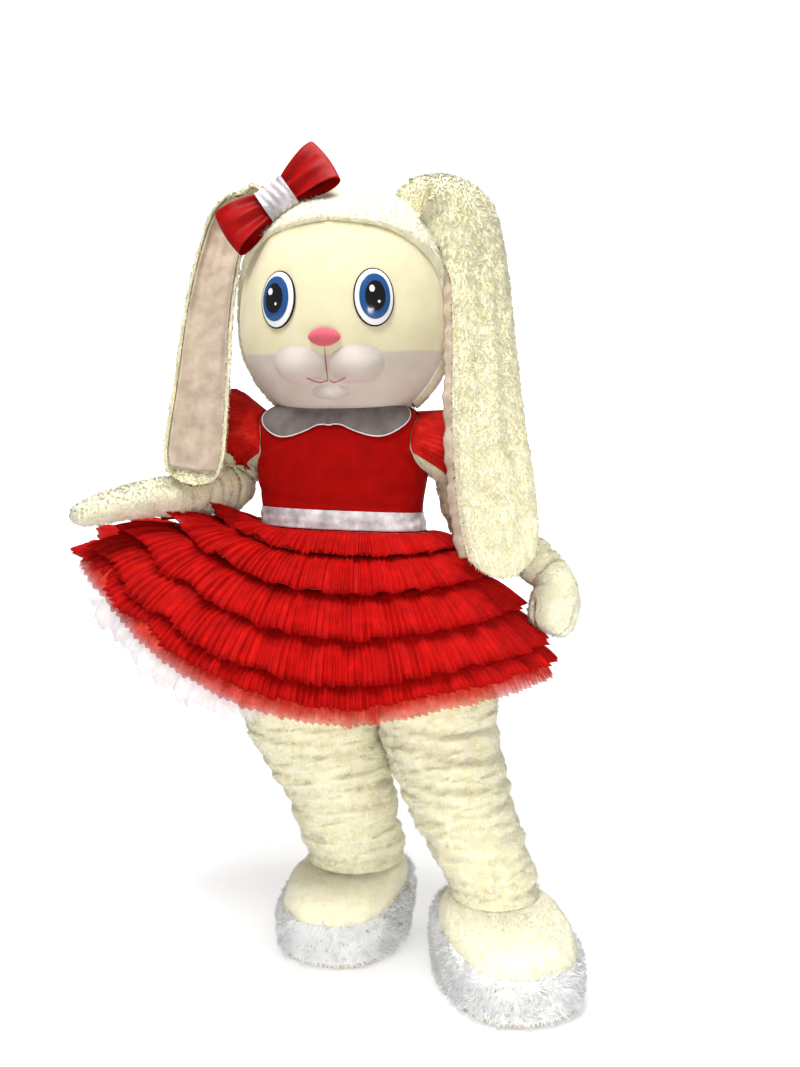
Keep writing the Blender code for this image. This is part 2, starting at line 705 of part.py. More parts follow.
# Shoes
def shoe_outline(shoe, around, grow=0.0):
    """The shoe's edge at the floor. around 0 is the toe."""
    turn = around * math.tau
    heading = math.radians(shoe["toe_angle"])
    toe = Vector((math.sin(heading), -math.cos(heading), 0))
    side = Vector((math.cos(heading), math.sin(heading), 0))
    along = (shoe["length"] / 2 + grow) * power(math.cos(turn), 0.85)
    across = (shoe["width"] / 2 + grow) * power(math.sin(turn), 0.85) * (1 + 0.08 * math.cos(turn))
    return Vector((shoe["x"], shoe["y"], 0)) + toe * along + side * across


def shoe_shape(shoe):
    leg = RIGHT_LEG[0] if shoe["side"] == "right" else LEFT_LEG[0]

    def shape(around, along):
        low = shoe_outline(shoe, around)
        heading = math.radians(shoe["toe_angle"])
        angle = around * 360 + math.degrees(heading)
        top = ring(angle, leg["half_width"], leg["half_depth"])
        top += Vector((leg["x"], leg["y"], leg["height"] - SEAM_GAP))
        low.z = SOLE + SEAM_GAP
        rise = math.sin(along * math.pi / 2) ** 0.85
        lean = (1 - math.cos(along * math.pi / 2)) ** 1.35
        bulge = 0.014 * math.sin(along * math.pi)
        out = (low - Vector((shoe["x"], shoe["y"], low.z))).normalized()
        point = low.lerp(top, lean) + out * bulge
        point.z = low.z + (top.z - low.z) * rise
        return point

    return shape


def shoes():
    for shoe in SHOES:
        shape = shoe_shape(shoe)
        gap = 2 * SEAM_GAP / 0.2

        def trim_top(around):
            turn = abs((around * 360 + 180) % 360 - 180)
            return smooth_row(SHOE_FUR_TOP, turn)["along"]

        def upper(around, along, lift):
            at = trim_top(around)
            at = at + gap + along * (1 - at - gap)
            return shape(around, at) + facing(shape, around, at) * lift

        def trim(around, along, lift):
            at = along * trim_top(around)
            out = facing(shape, around, at)
            if along == 0.0:
                out = Vector((out.x, out.y, 0)).normalized()
            return shape(around, at) + out * lift

        def flat_top(around, along, lift):
            point = upper(around, along, lift)
            if along == 1.0:
                point = shape(around, 1.0)
                out = Vector((point.x, point.y, 0)) - Vector((shoe["ankle_x"], shoe["ankle_y"], 0))
                point += out.normalized() * lift
            return point

        for name, form, alongs, lifts, finish in (
            ("shoe_upper", flat_top, (0.0, 0.33, 0.66, 1.0), (-PLUSH, 0.0), CREAM_PLUSH),
            ("shoe_trim", trim, (0.0, 0.35, 0.7, 1.0), (-PLUSH, SHOE_FUR), WHITE_FUR),
        ):
            wall(f"{name}_{shoe['side']}", form, evenly(SHOE_COLUMNS), alongs, lifts, finish, closed=True)

        bm = bmesh.new()
        rim = [shoe_outline(shoe, i / 24, 0.006) for i in range(24)]
        face = bm.faces.new([bm.verts.new(point) for point in rim])
        grown = bmesh.ops.extrude_face_region(bm, geom=[face])
        raised = [item for item in grown["geom"] if isinstance(item, bmesh.types.BMVert)]
        bmesh.ops.translate(bm, vec=(0, 0, SOLE), verts=raised)
        place(f"sole_{shoe['side']}", bm, SOLE_RUBBER)


# Head
HEAD_LOW = HEAD_ROWS[0]
HEAD_ALONGS = [(rise - HEAD_LOW) / (90 - HEAD_LOW) for rise in HEAD_ROWS]
HEAD_AROUNDS = [i / HEAD_COLUMNS for i in range(-HEAD_COLUMNS, HEAD_COLUMNS + 1)]


def head(around, along):
    """The foam head's outer face. around 0 is the nose, and along runs from the neck to the crown."""
    rise = math.radians(HEAD_LOW + along * (90 - HEAD_LOW))
    full = power(math.cos(rise), HEAD_POWER if rise > 0 else JAW_POWER)
    cheek = 1 + CHEEK_FULLNESS * math.exp(-(((math.degrees(rise) + 22) / 26) ** 2))
    point = ring(around * 360, HEAD["half_width"] * full * cheek, HEAD["half_depth"] * full * cheek, 2.15)
    point.z = HEAD["half_height"] * power(math.sin(rise), 0.94)
    if rise < 0:
        low = math.sin(rise) ** 2
        point.z += CHIN_DROP * low * (0.5 + 0.5 * math.cos(around * math.tau)) + JAW_DROP * math.sin(rise)
    return point + Vector((HEAD["x"], HEAD["y"], HEAD["height"]))


head_faces = faceted(head, HEAD_AROUNDS, HEAD_ALONGS)


def on_head(turn, rise, lift, faces=head_faces):
    around, along = turn / 360, (rise - HEAD_LOW) / (90 - HEAD_LOW)
    out = facing(head, around, along) if rise < 89 else Vector((0, 0, 1))
    return faces(around, along) + out * lift


def head_shell():
    def surface(around, along, lift):
        return on_head(around * 360, HEAD_LOW + along * (90 - HEAD_LOW), lift, head)

    wall(
        "head_shell", surface, evenly(HEAD_COLUMNS), HEAD_ALONGS, (-HEAD_FOAM, 0.0), FACE_FLEECE,
        closed=True, tip=True,
    )


def hood():
    """Plush over the top, back and sides of the head, open round the face."""
    turns = [i * 360 / HEAD_COLUMNS for i in range(HEAD_COLUMNS + 1)]

    def surface(turn, rise, lift):
        edge = smooth_row(FACE_OPENING, rise)["turn"] if rise < 37.0 else 0.0
        return on_head(min(max(turn, edge), 360 - edge), max(rise, HOOD_HEM), lift)

    wall("hood", surface, turns, HEAD_ROWS, (HOOD_LIFT, HOOD_LIFT + HOOD_PLUSH), CREAM_PLUSH, tip=True)


def pad(name, turn, rise, half_width, half_height, squareness, low, high, finish):
    """A pad on the head. low and high give the lift of its underside and its face at a share of its reach."""
    bm = bmesh.new()
    sides = 12
    reaches = (1.0, 0.70)
    sheets = []
    for lift in (low, high):
        rings = []
        for reach in reaches:
            points = []
            for i in range(sides):
                flat = ring(i * 360 / sides, half_width * reach, half_height * reach, squareness)
                turned = turn + math.degrees(flat.x / head_reach(rise))
                risen = rise + math.degrees(flat.y / 0.25)
                points.append(bm.verts.new(on_head(turned, risen, lift(reach))))
            rings.append(points)
        rings.append([bm.verts.new(on_head(turn, rise, lift(0.0)))] * sides)
        sheets.append(rings)
    for rings in sheets:
        for j in range(len(rings) - 1):
            for i in range(sides):
                k = (i + 1) % sides
                triangle(bm, rings[j][i], rings[j][k], rings[j + 1][k])
                triangle(bm, rings[j][i], rings[j + 1][k], rings[j + 1][i])
    inner, outer = sheets[0][0], sheets[1][0]
    for i in range(sides):
        k = (i + 1) % sides
        triangle(bm, inner[i], inner[k], outer[k])
        triangle(bm, inner[i], outer[k], outer[i])
    place(name, bm, finish)


def head_reach(rise):
    return 0.24 * max(math.cos(math.radians(rise)), 0.2)


def face():
    for piece in FACE:
        height, seat = piece["height"], piece["seat"]

        def dome(reach):
            return seat + 0.002 + height * math.sqrt(max(1 - reach * reach * 0.98, 0.0))

        pad(
            piece["name"], piece["turn"], piece["rise"], piece["half_width"], piece["half_height"],
            piece["squareness"], lambda reach: seat, dome, piece["finish"],
        )
        if piece["name"].startswith("eye"):
            side = piece["name"][4:]
            for name, share, rest, finish in (
                (f"iris_{side}", IRIS_SHARE, 0.0004, IRIS_PLASTIC),
                (f"pupil_{side}", PUPIL_SHARE, 0.0022, PUPIL_PLASTIC),
            ):

                def low(reach):
                    return dome(reach * share) + rest

                pad(
                    name, piece["turn"], piece["rise"], piece["half_width"] * share,
                    piece["half_height"] * share, 2.0, low, lambda reach: low(reach) + 0.0014, finish,
                )


def ears():
    for ear in EARS:
        path = ear["path"]

        def shape(across, along, lift):
            row = smooth_row(path, along)
            ahead = smooth_row(path, min(along + 0.01, 1.0))
            behind = smooth_row(path, max(along - 0.01, 0.0))
            tangent = (middle_of(ahead) - middle_of(behind)).normalized()
            heading, climb = math.radians(row["heading"]), math.radians(row["climb"])
            level = math.cos(climb)
            back = Vector((math.sin(heading) * level, -math.cos(heading) * level, math.sin(climb)))
            back = (back - tangent * back.dot(tangent)).normalized()
            wide = tangent.cross(back)
            curl = math.radians(row["curl"]) * across
            reach = row["half_width"] / math.radians(row["curl"])
            out = wide * math.sin(curl) + back * math.cos(curl)
            return middle_of(row) - back * reach + out * (reach + lift)

        wall(f"ear_{ear['side']}", shape, EAR_COLUMNS, EAR_ROWS, (-EAR_FOAM, 0.0), CREAM_PLUSH)
        lifts = (-EAR_FOAM - LINING_LIFT - CLOTH, -EAR_FOAM - LINING_LIFT)
        wall(f"ear_lining_{ear['side']}", shape, ear["lining"], EAR_ROWS[1:-1], lifts, EAR_SATIN)


def bow():
    knot = Vector(BOW["knot"])
    long = Vector(BOW["along"]).normalized()
    front = Vector(BOW["facing"])
    front = (front - long * front.dot(long)).normalized()
    wide = front.cross(long)

    for name, sign in (("bow_loop_right", -1), ("bow_loop_left", 1)):

        def surface(around, across, lift):
            turn = around * math.tau
            reach = (1 - math.cos(turn)) / 2
            swell = BOW_HALF_THICKNESS * math.sin(turn) * (0.35 + 0.65 * math.sin(turn / 2) ** 2)
            flat = math.copysign(0.0022, 0.5 - around) * (1 - reach)
            half = BOW_ROOT_HALF_WIDTH + (BOW_END_HALF_WIDTH - BOW_ROOT_HALF_WIDTH) * reach**0.8
            out = math.sin(turn / 2) ** 6
            outward = math.copysign(math.sqrt(max(1 - out * out, 0.0)), 0.5 - around)
            distance = BOW_ROOT + (BOW_REACH - BOW_ROOT) * reach + lift * out
            return knot + long * sign * distance + front * (swell + flat + lift * outward) + wide * half * across

        wall(name, surface, evenly(14), (-1.0, 0.0, 1.0), (-CLOTH, 0.0), RED_SATIN)

    def band(around, along, lift):
        turn = around * math.tau
        pinch = 1 + 0.12 * (2 * along - 1) ** 2
        out = wide * (KNOT_HALF_WIDTH * pinch + lift) * math.cos(turn)
        out += front * (KNOT_HALF_THICKNESS * pinch + lift) * math.sin(turn)
        return knot + long * (2 * along - 1) * KNOT_HALF_LENGTH + out

    wall("bow_knot", band, evenly(12), (0.0, 0.5, 1.0), (-0.002, 0.0), SILVER_SATIN, closed=True)


# Skirt
SKIRT_ROUND = all_round(SKIRT)


def skirt(angle, share):
    """The skirt's smooth form at an angle round the waist and a share of the way down to the hem."""
    row = smooth_row(SKIRT_ROUND, angle)
    start = on_torso_smooth(angle, waist(angle))
    turn = math.radians(angle)
    away = Vector((math.sin(turn), -math.cos(turn), 0))
    knee = away * row["knee_reach"] + Vector((0, 0, row["knee_height"]))
    hem = away * row["hem_reach"] + Vector((0, 0, row["hem_height"]))
    return start * (1 - share) ** 2 + knee * 2 * share * (1 - share) + hem * share * share


def on_torso_smooth(angle, height):
    return torso(angle / 360, (height - TORSO_LOW) / TORSO_SPAN) + ring(angle, SKIRT_LIFT, SKIRT_LIFT)


def skirt_out(angle, share):
    step = 0.5
    low, high = max(share - 0.01, 0.0), max(share, 0.12) + 0.01
    across = skirt(angle + step, share) - skirt(angle - step, share)
    down = skirt(angle, high) - skirt(angle, low)
    return down.cross(across).normalized()


def layer(name, lift_at, share_at, columns, rows, thickness, finish):
    """One layer of the skirt. lift_at(angle, row) is its height over the skirt's form."""

    def surface(angle, row, lift):
        share = share_at(angle, row)
        out = skirt_out(angle, share)
        return skirt(angle, share) + out * (lift_at(angle, row) + lift)

    angles = [i * 360 / columns for i in range(columns + 1)]
    return wall(name, surface, angles, rows, (0.0, thickness), finish, closed=True)


def skirts():
    for tier in RUFFLES:
        pleats = tier["pleats"]

        def lift_at(angle, row):
            wave = math.cos(math.radians(angle * pleats)) * tier["wave"]
            return tier["seat"] + row * (tier["flare"] + wave)

        def share_at(angle, row):
            return tier["top"] + row * (tier["hem"] - tier["top"])

        layer(tier["name"], lift_at, share_at, pleats * 3, (0.0, 1.0), NET, RED_TULLE)

    layer(
        "underskirt", lambda angle, row: -0.008 * ease(row * 3), lambda angle, row: row,
        SKIRT_COLUMNS, evenly(SKIRT_ROWS), NET, SHEER_TULLE,
    )

    def petticoat_share(angle, row):
        return row * (1.0 + smooth_row(SKIRT_ROUND, angle)["petticoat_drop"] / 0.45)

    layer(
        "petticoat", lambda angle, row: -0.0019 - 0.019 * ease(row * 3), petticoat_share,
        SKIRT_COLUMNS, evenly(SKIRT_ROWS), NET, WHITE_NET,
    )


def build():
    for old in list(bpy.data.objects):
        bpy.data.objects.remove(old, do_unlink=True)
    head_shell()
    hood()
    face()
    ears()
    bow()
    suit_body()
    sleeves()
    mitts()
    legs()
    shoes()
    bodice()
    collar()
    flutter_sleeves()
    belt()
    skirts()


build()
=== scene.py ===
"""Looks of the rabbit mascot costume: long-pile plush, fleece face, satin, and a dress of pleated tulle."""

import math

import bmesh
import bpy
import numpy as np
from mathutils import Matrix, Vector, noise


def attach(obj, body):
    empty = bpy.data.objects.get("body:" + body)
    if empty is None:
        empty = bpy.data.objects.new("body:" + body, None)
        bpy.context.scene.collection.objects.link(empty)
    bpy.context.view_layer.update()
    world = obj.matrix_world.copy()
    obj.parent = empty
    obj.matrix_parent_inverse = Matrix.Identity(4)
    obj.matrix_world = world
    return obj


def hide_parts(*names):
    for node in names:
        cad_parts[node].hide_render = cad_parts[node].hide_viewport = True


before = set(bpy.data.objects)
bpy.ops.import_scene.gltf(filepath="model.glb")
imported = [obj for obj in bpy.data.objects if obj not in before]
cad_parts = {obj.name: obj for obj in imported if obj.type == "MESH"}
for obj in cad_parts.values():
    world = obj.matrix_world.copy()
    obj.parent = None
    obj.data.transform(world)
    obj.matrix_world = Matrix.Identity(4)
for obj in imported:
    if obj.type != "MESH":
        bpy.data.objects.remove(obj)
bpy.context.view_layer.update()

# Sizes of the costume, in metres up from the floor; the origin lies between the shoulders
SHOULDER_HEIGHT = 1.375
PLUSH = 0.003
EAR_FOAM = 0.009
NET = 0.0006
SOLE = 0.012
WAIST_HEIGHT = 1.0685
BELT_WIDTH = 0.046
WAIST_TILT = -0.045
WAIST_RADIUS = 0.195
CHEST_RADIUS = 0.19
TORSO_POWER = 2.25
HIP_MIDDLE = 0.062
HIP_HALF_WIDTH = 0.262
HIP_HALF_DEPTH = 0.165
HEAD = {
    "x": 0.010, "y": -0.010, "height": 1.617,
    "half_width": 0.244, "half_depth": 0.222, "half_height": 0.262,
}
HEAD_LOW = -54.0
HEAD_POWER = 0.88
HEAD_SQUARENESS = 2.15
HEAD_RADIUS = 0.25
JAW_POWER = 0.78
CHEEK_FULLNESS = 0.075
CHIN_DROP = -0.026
JAW_DROP = 0.0236
BOW = {"knot": (-0.129, -0.1557, 1.8405), "along": (0.81, 0.05, 0.57), "facing": (-0.15, -0.93, 0.33)}


def table(columns, *rows):
    names = columns.split()
    return [dict(zip(names, row)) for row in rows]


TORSO = table(
    "height half_width half_depth x",
    (0.803, 0.265, 0.168, 0.062),
    (0.950, 0.232, 0.160, 0.028),
    (1.060, 0.200, 0.146, 0.003),
    (1.120, 0.194, 0.142, 0.000),
    (1.200, 0.207, 0.149, 0.000),
    (1.211, 0.209, 0.150, 0.000),
    (1.226, 0.211, 0.151, 0.000),
    (1.250, 0.213, 0.151, 0.000),
    (1.290, 0.213, 0.147, 0.000),
    (1.322, 0.208, 0.139, 0.000),
    (1.340, 0.199, 0.132, 0.000),
    (1.354, 0.178, 0.122, 0.000),
    (1.368, 0.140, 0.108, 0.000),
    (1.385, 0.105, 0.095, 0.000),
    (1.440, 0.088, 0.086, 0.000),
)
ARMHOLE = {"height": 1.280, "half_height": 0.062, "half_angle": 32.0}
RIGHT_ARM = table(
    "along x y z half_width half_thickness",
    (0.00, -0.590, -0.262, 1.098, 0.030, 0.012),
    (0.05, -0.572, -0.253, 1.108, 0.052, 0.026),
    (0.14, -0.527, -0.229, 1.124, 0.060, 0.034),
    (0.24, -0.472, -0.200, 1.138, 0.058, 0.039),
    (0.32, -0.425, -0.176, 1.148, 0.052, 0.044),
    (0.40, -0.378, -0.146, 1.152, 0.047, 0.047),
    (0.52, -0.330, -0.088, 1.162, 0.052, 0.052),
    (0.61, -0.306, -0.046, 1.168, 0.060, 0.060),
    (0.70, -0.292, -0.012, 1.178, 0.064, 0.064),
    (0.78, -0.287, 0.010, 1.208, 0.065, 0.065),
    (0.85, -0.281, 0.016, 1.243, 0.064, 0.064),
    (0.91, -0.264, 0.012, 1.271, 0.063, 0.063),
    (0.96, -0.238, 0.005, 1.286, 0.064, 0.064),
    (1.00, -0.205, 0.000, 1.290, 0.066, 0.066),
)
LEFT_ARM = table(
    "along x y z half_width half_thickness",
    (0.00, 0.502, -0.006, 0.822, 0.022, 0.026),
    (0.05, 0.508, -0.002, 0.836, 0.042, 0.050),
    (0.14, 0.518, 0.012, 0.866, 0.050, 0.060),
    (0.23, 0.523, 0.030, 0.897, 0.050, 0.059),
    (0.30, 0.524, 0.045, 0.922, 0.047, 0.052),
    (0.36, 0.516, 0.060, 0.945, 0.047, 0.047),
    (0.46, 0.486, 0.080, 0.976, 0.052, 0.052),
    (0.58, 0.424, 0.094, 1.012, 0.057, 0.057),
    (0.70, 0.354, 0.088, 1.058, 0.063, 0.063),
    (0.80, 0.312, 0.064, 1.106, 0.067, 0.067),
    (0.88, 0.300, 0.036, 1.170, 0.066, 0.066),
    (0.94, 0.284, 0.014, 1.228, 0.063, 0.063),
    (1.00, 0.205, 0.000, 1.284, 0.064, 0.064),
)
ARMS = table(
    "side sign path across cuff",
    ("right", -1, RIGHT_ARM, (0.49, -0.86, -0.15), 0.40),
    ("left", 1, LEFT_ARM, (0.0, -1.0, 0.0), 0.36),
)
RIGHT_LEG = table(
    "height x y half_width half_depth",
    (0.190, 0.008, 0.122, 0.118, 0.122),
    (0.235, 0.004, 0.112, 0.132, 0.130),
    (0.300, -0.006, 0.090, 0.132, 0.130),
    (0.380, -0.021, 0.068, 0.141, 0.134),
    (0.470, -0.051, 0.042, 0.156, 0.144),
    (0.570, -0.086, 0.020, 0.166, 0.152),
    (0.680, -0.108, 0.004, 0.160, 0.152),
    (0.8025, -0.074, 0.000, 0.150, 0.150),
)
LEFT_LEG = table(
    "height x y half_width half_depth",
    (0.190, 0.384, -0.058, 0.104, 0.112),
    (0.240, 0.372, -0.052, 0.113, 0.118),
    (0.310, 0.338, -0.042, 0.118, 0.122),
    (0.400, 0.298, -0.030, 0.131, 0.131),
    (0.490, 0.266, -0.020, 0.138, 0.138),
    (0.580, 0.243, -0.010, 0.144, 0.145),
    (0.680, 0.225, -0.004, 0.150, 0.150),
    (0.8025, 0.198, 0.000, 0.150, 0.150),
)
SHOES = table(
    "side x y toe_angle length width ankle_x ankle_y",
    ("right", -0.006, 0.072, -13.0, 0.365, 0.268, 0.008, 0.125),
    ("left", 0.412, -0.132, 29.0, 0.385, 0.270, 0.383, -0.058),
)
SHOE_FUR_TOP = table(
    "turn along",
    (0.0, 0.30),
    (50.0, 0.33),
    (95.0, 0.48),
    (140.0, 0.68),
    (180.0, 0.74),
)
FACE_OPENING = table(
    "rise turn",
    (-54.0, 86.0),
    (-28.0, 84.0),
    (0.0, 80.0),
    (13.0, 72.0),
    (22.0, 60.0),
    (28.5, 46.0),
    (33.5, 29.0),
    (37.0, 0.0),
)
RIGHT_EAR = table(
    "along x y z half_width curl heading climb",
    (0.00, -0.140, 0.030, 1.8918, 0.052, 28.0, 20.0, 65.0),
    (0.07, -0.188, 0.018, 1.914, 0.056, 30.0, 20.0, 82.0),
    (0.14, -0.245, 0.002, 1.904, 0.058, 32.0, 250.0, 72.0),
    (0.21, -0.284, -0.016, 1.856, 0.058, 36.0, 235.0, 38.0),
    (0.32, -0.2952, -0.044, 1.760, 0.059, 42.0, 205.0, 8.0),
    (0.50, -0.3020, -0.088, 1.600, 0.070, 45.0, 182.0, 0.0),
    (0.72, -0.306, -0.135, 1.400, 0.080, 46.0, 180.0, 0.0),
    (0.90, -0.313, -0.170, 1.250, 0.084, 44.0, 182.0, 0.0),
    (0.97, -0.318, -0.182, 1.195, 0.068, 40.0, 185.0, 0.0),
    (1.00, -0.320, -0.186, 1.176, 0.046, 36.0, 185.0, 0.0),
)
LEFT_EAR = table(
    "along x y z half_width curl heading climb",
    (0.00, 0.160, -0.010, 1.8525, 0.060, 26.0, 10.0, 35.0),
    (0.06, 0.208, -0.012, 1.905, 0.064, 24.0, 18.0, 52.0),
    (0.12, 0.267, -0.018, 1.911, 0.070, 25.0, 32.0, 58.0),
    (0.20, 0.327, -0.034, 1.850, 0.078, 31.0, 38.0, 28.0),
    (0.32, 0.352, -0.060, 1.712, 0.080, 38.0, 28.0, 4.0),
    (0.50, 0.364, -0.100, 1.520, 0.084, 38.0, 18.0, 0.0),
    (0.68, 0.376, -0.138, 1.320, 0.094, 38.0, 12.0, 0.0),
    (0.85, 0.396, -0.164, 1.130, 0.099, 36.0, 8.0, 0.0),
    (0.95, 0.406, -0.174, 1.020, 0.084, 32.0, 6.0, 0.0),
    (1.00, 0.410, -0.178, 0.966, 0.048, 28.0, 6.0, 0.0),
)
COLLAR_EDGE = table(
    "angle height",
    (2.0, 1.330),
    (12.0, 1.304),
    (30.0, 1.290),
    (48.0, 1.314),
    (64.0, 1.350),
    (78.0, 1.370),
    (95.0, 1.374),
    (120.0, 1.345),
    (150.0, 1.320),
    (168.0, 1.326),
    (178.0, 1.342),
)
SKIRT = table(
    "angle knee_reach knee_height hem_reach hem_height petticoat_drop",
    (-180.0, 0.325, 0.950, 0.430, 0.700, 0.000),
    (-140.0, 0.360, 0.985, 0.500, 0.765, 0.010),
    (-105.0, 0.440, 1.075, 0.620, 0.925, 0.020),
    (-77.0, 0.500, 1.125, 0.650, 0.994, 0.028),
    (-59.0, 0.420, 1.085, 0.560, 0.888, 0.040),
    (-36.0, 0.360, 1.010, 0.500, 0.784, 0.038),
    (-19.0, 0.330, 0.965, 0.465, 0.724, 0.020),
    (10.0, 0.310, 0.940, 0.420, 0.673, -0.020),
    (45.0, 0.315, 0.945, 0.430, 0.695, -0.040),
    (75.0, 0.350, 0.965, 0.490, 0.712, -0.020),
    (99.0, 0.375, 0.975, 0.525, 0.710, -0.008),
    (135.0, 0.345, 0.955, 0.465, 0.700, -0.020),
)
FACE = table(
    "name turn rise half_width half_height height squareness seat",
    ("eye_right", -24.0, -3.5, 0.042, 0.051, 0.012, 2.0, 0.0022),
    ("eye_left", 24.0, -3.5, 0.042, 0.051, 0.012, 2.0, 0.0022),
    ("muzzle_right", -16.5, -33.0, 0.056, 0.042, 0.030, 2.2, 0.0030),
    ("muzzle_left", 16.5, -33.0, 0.056, 0.042, 0.030, 2.2, 0.0030),
    ("chin", 0.0, -47.0, 0.036, 0.019, 0.012, 2.0, 0.0010),
    ("nose", 0.0, -20.0, 0.029, 0.018, 0.018, 1.7, 0.0008),
)


# Shapes: each takes arrays of places on a piece and gives points, the last axis being x, y, z
def read(rows, at):
    """Every column of a table at many places, on a smooth curve through its rows."""
    names = list(rows[0])
    grid = np.array([[row[name] for name in names] for row in rows], float)
    at = np.clip(np.asarray(at, float), grid[0, 0], grid[-1, 0])
    i = np.clip(np.searchsorted(grid[:, 0], at, side="right") - 1, 0, len(rows) - 2)
    before, low = grid[np.maximum(i - 1, 0)], grid[i]
    high, after = grid[i + 1], grid[np.minimum(i + 2, len(rows) - 1)]
    span = (high[..., :1] - low[..., :1])
    t = (at[..., None] - low[..., :1]) / span
    start = (high - before) / (high[..., :1] - before[..., :1]) * span
    end = (after - low) / (after[..., :1] - low[..., :1]) * span
    found = (2 * t**3 - 3 * t**2 + 1) * low + (t**3 - 2 * t**2 + t) * start
    found += (3 * t**2 - 2 * t**3) * high + (t**3 - t**2) * end
    return {name: found[..., k] for k, name in enumerate(names)}


def points(x, y, z):
    return np.stack(np.broadcast_arrays(x, y, z), axis=-1).astype(float)


def unit(vectors):
    return vectors / np.maximum(np.linalg.norm(vectors, axis=-1, keepdims=True), 1e-12)


def ease(t):
    t = np.clip(t, 0.0, 1.0)
    return t * t * (3 - 2 * t)


def power(value, exponent):
    return np.sign(value) * np.abs(value) ** exponent


def turned(angle):
    """An angle in degrees brought to within half a turn of zero."""
    return (angle + 180.0) % 360.0 - 180.0


def rough(at, size, seed=0.0):
    """Soft unevenness from -1 to 1, with lumps of about that size in metres."""
    flat = np.asarray(at, float).reshape(-1, 3) / size + seed
    found = np.array([noise.noise(Vector(point)) for point in flat])
    return found.reshape(np.asarray(at).shape[:-1])


def ring(angle, half_width, half_depth, exponent=2.0):
    """A rounded outline. Angle 0 is the front, -Y, and 90 degrees is +X."""
    a = np.radians(angle)
    return points(
        half_width * power(np.sin(a), 2 / exponent), -half_depth * power(np.cos(a), 2 / exponent), 0.0,
    )


def outward(surface, u, v, step=1e-3):
    """The outward direction of surface(u, v), for u and v from 0 to 1 or round a ring."""
    across = surface(u + step, v) - surface(u - step, v)
    up = surface(u, np.minimum(v + step, 1.0)) - surface(u, np.maximum(v - step, 0.0))
    return unit(np.cross(across, up))


def folds(rows, angle, height):
    """Listed creases: troughs, or ridges where the depth is negative, each fading out at its ends."""
    depth = np.zeros(np.broadcast(angle, height).shape)
    for fold in rows:
        off = turned(angle - fold["facing"])
        share = off / fold["reach"]
        middle = fold["height"] + fold["climb"] * share + fold["sag"] * share * share
        across = (height - middle) / fold["width"]
        depth += fold["depth"] * np.exp(-across * across) * ease(1.15 - np.abs(share))
    return depth


TORSO_BASE = TORSO[0]["height"]
TORSO_SPAN = TORSO[-1]["height"] - TORSO_BASE


def torso(around, along):
    row = read(TORSO, TORSO_BASE + np.asarray(along) * TORSO_SPAN)
    found = ring(np.asarray(around) * 360, row["half_width"], row["half_depth"], TORSO_POWER)
    return found + points(row["x"], 0.0, row["height"])


def on_torso(angle, height, lift):
    angle, height = np.broadcast_arrays(np.asarray(angle, float), np.asarray(height, float))
    around, along = angle / 360, (height - TORSO_BASE) / TORSO_SPAN
    return torso(around, along) + outward(torso, around, along) * np.asarray(lift)[..., None]


def armhole_turn(height, margin):
    share = (height - ARMHOLE["height"]) / (ARMHOLE["half_height"] + margin)
    width = ARMHOLE["half_angle"] + math.degrees(margin / CHEST_RADIUS)
    return width * np.sqrt(np.clip(1 - share * share, 0.0, 1.0))


def armhole_ring(sign, turn, margin, lift):
    width = ARMHOLE["half_angle"] + np.degrees(margin / CHEST_RADIUS)
    angle = sign * (90 - width * np.cos(turn))
    height = ARMHOLE["height"] + sign * (ARMHOLE["half_height"] + margin) * np.sin(turn)
    return on_torso(angle, height, lift)


def waist(angle, above=0.0):
    return WAIST_HEIGHT + above + WAIST_TILT * WAIST_RADIUS * np.sin(np.radians(angle))


def limb(path, along, across):
    """The middle of a limb, its two cross directions and its row, at places along it."""
    row = read(path, along)
    ahead, behind = read(path, np.minimum(along + 0.01, 1.0)), read(path, np.maximum(along - 0.01, 0.0))
    tangent = unit(middle_of(ahead) - middle_of(behind))
    width = np.broadcast_to(np.array(across, float), tangent.shape)
    width = unit(width - tangent * np.sum(width * tangent, axis=-1, keepdims=True))
    return middle_of(row), width, np.cross(tangent, width), row


def middle_of(row):
    return points(row["x"], row["y"], row["z"])


def head(around, along):
    rise = np.radians(HEAD_LOW + np.asarray(along) * (90 - HEAD_LOW))
    full = np.where(rise > 0, power(np.cos(rise), HEAD_POWER), power(np.cos(rise), JAW_POWER))
    cheek = 1 + CHEEK_FULLNESS * np.exp(-(((np.degrees(rise) + 22) / 26) ** 2))
    half_width = HEAD["half_width"] * full * cheek
    half_depth = HEAD["half_depth"] * full * cheek
    found = ring(np.asarray(around) * 360, half_width, half_depth, HEAD_SQUARENESS)
    low = np.sin(rise) ** 2 * (rise < 0)
    up = HEAD["half_height"] * power(np.sin(rise), 0.94)
    up = up + CHIN_DROP * low * (0.5 + 0.5 * np.cos(np.asarray(around) * math.tau))
    found[..., 2] = up + JAW_DROP * np.minimum(np.sin(rise), 0)
    return found + np.array([HEAD["x"], HEAD["y"], HEAD["height"]])


def on_head(turn, rise, lift):
    turn, rise = np.broadcast_arrays(np.asarray(turn, float), np.asarray(rise, float))
    around, along = turn / 360, (rise - HEAD_LOW) / (90 - HEAD_LOW)
    out = outward(head, around, np.clip(along, 0.0, 0.999))
    return head(around, along) + out * np.asarray(lift)[..., None]


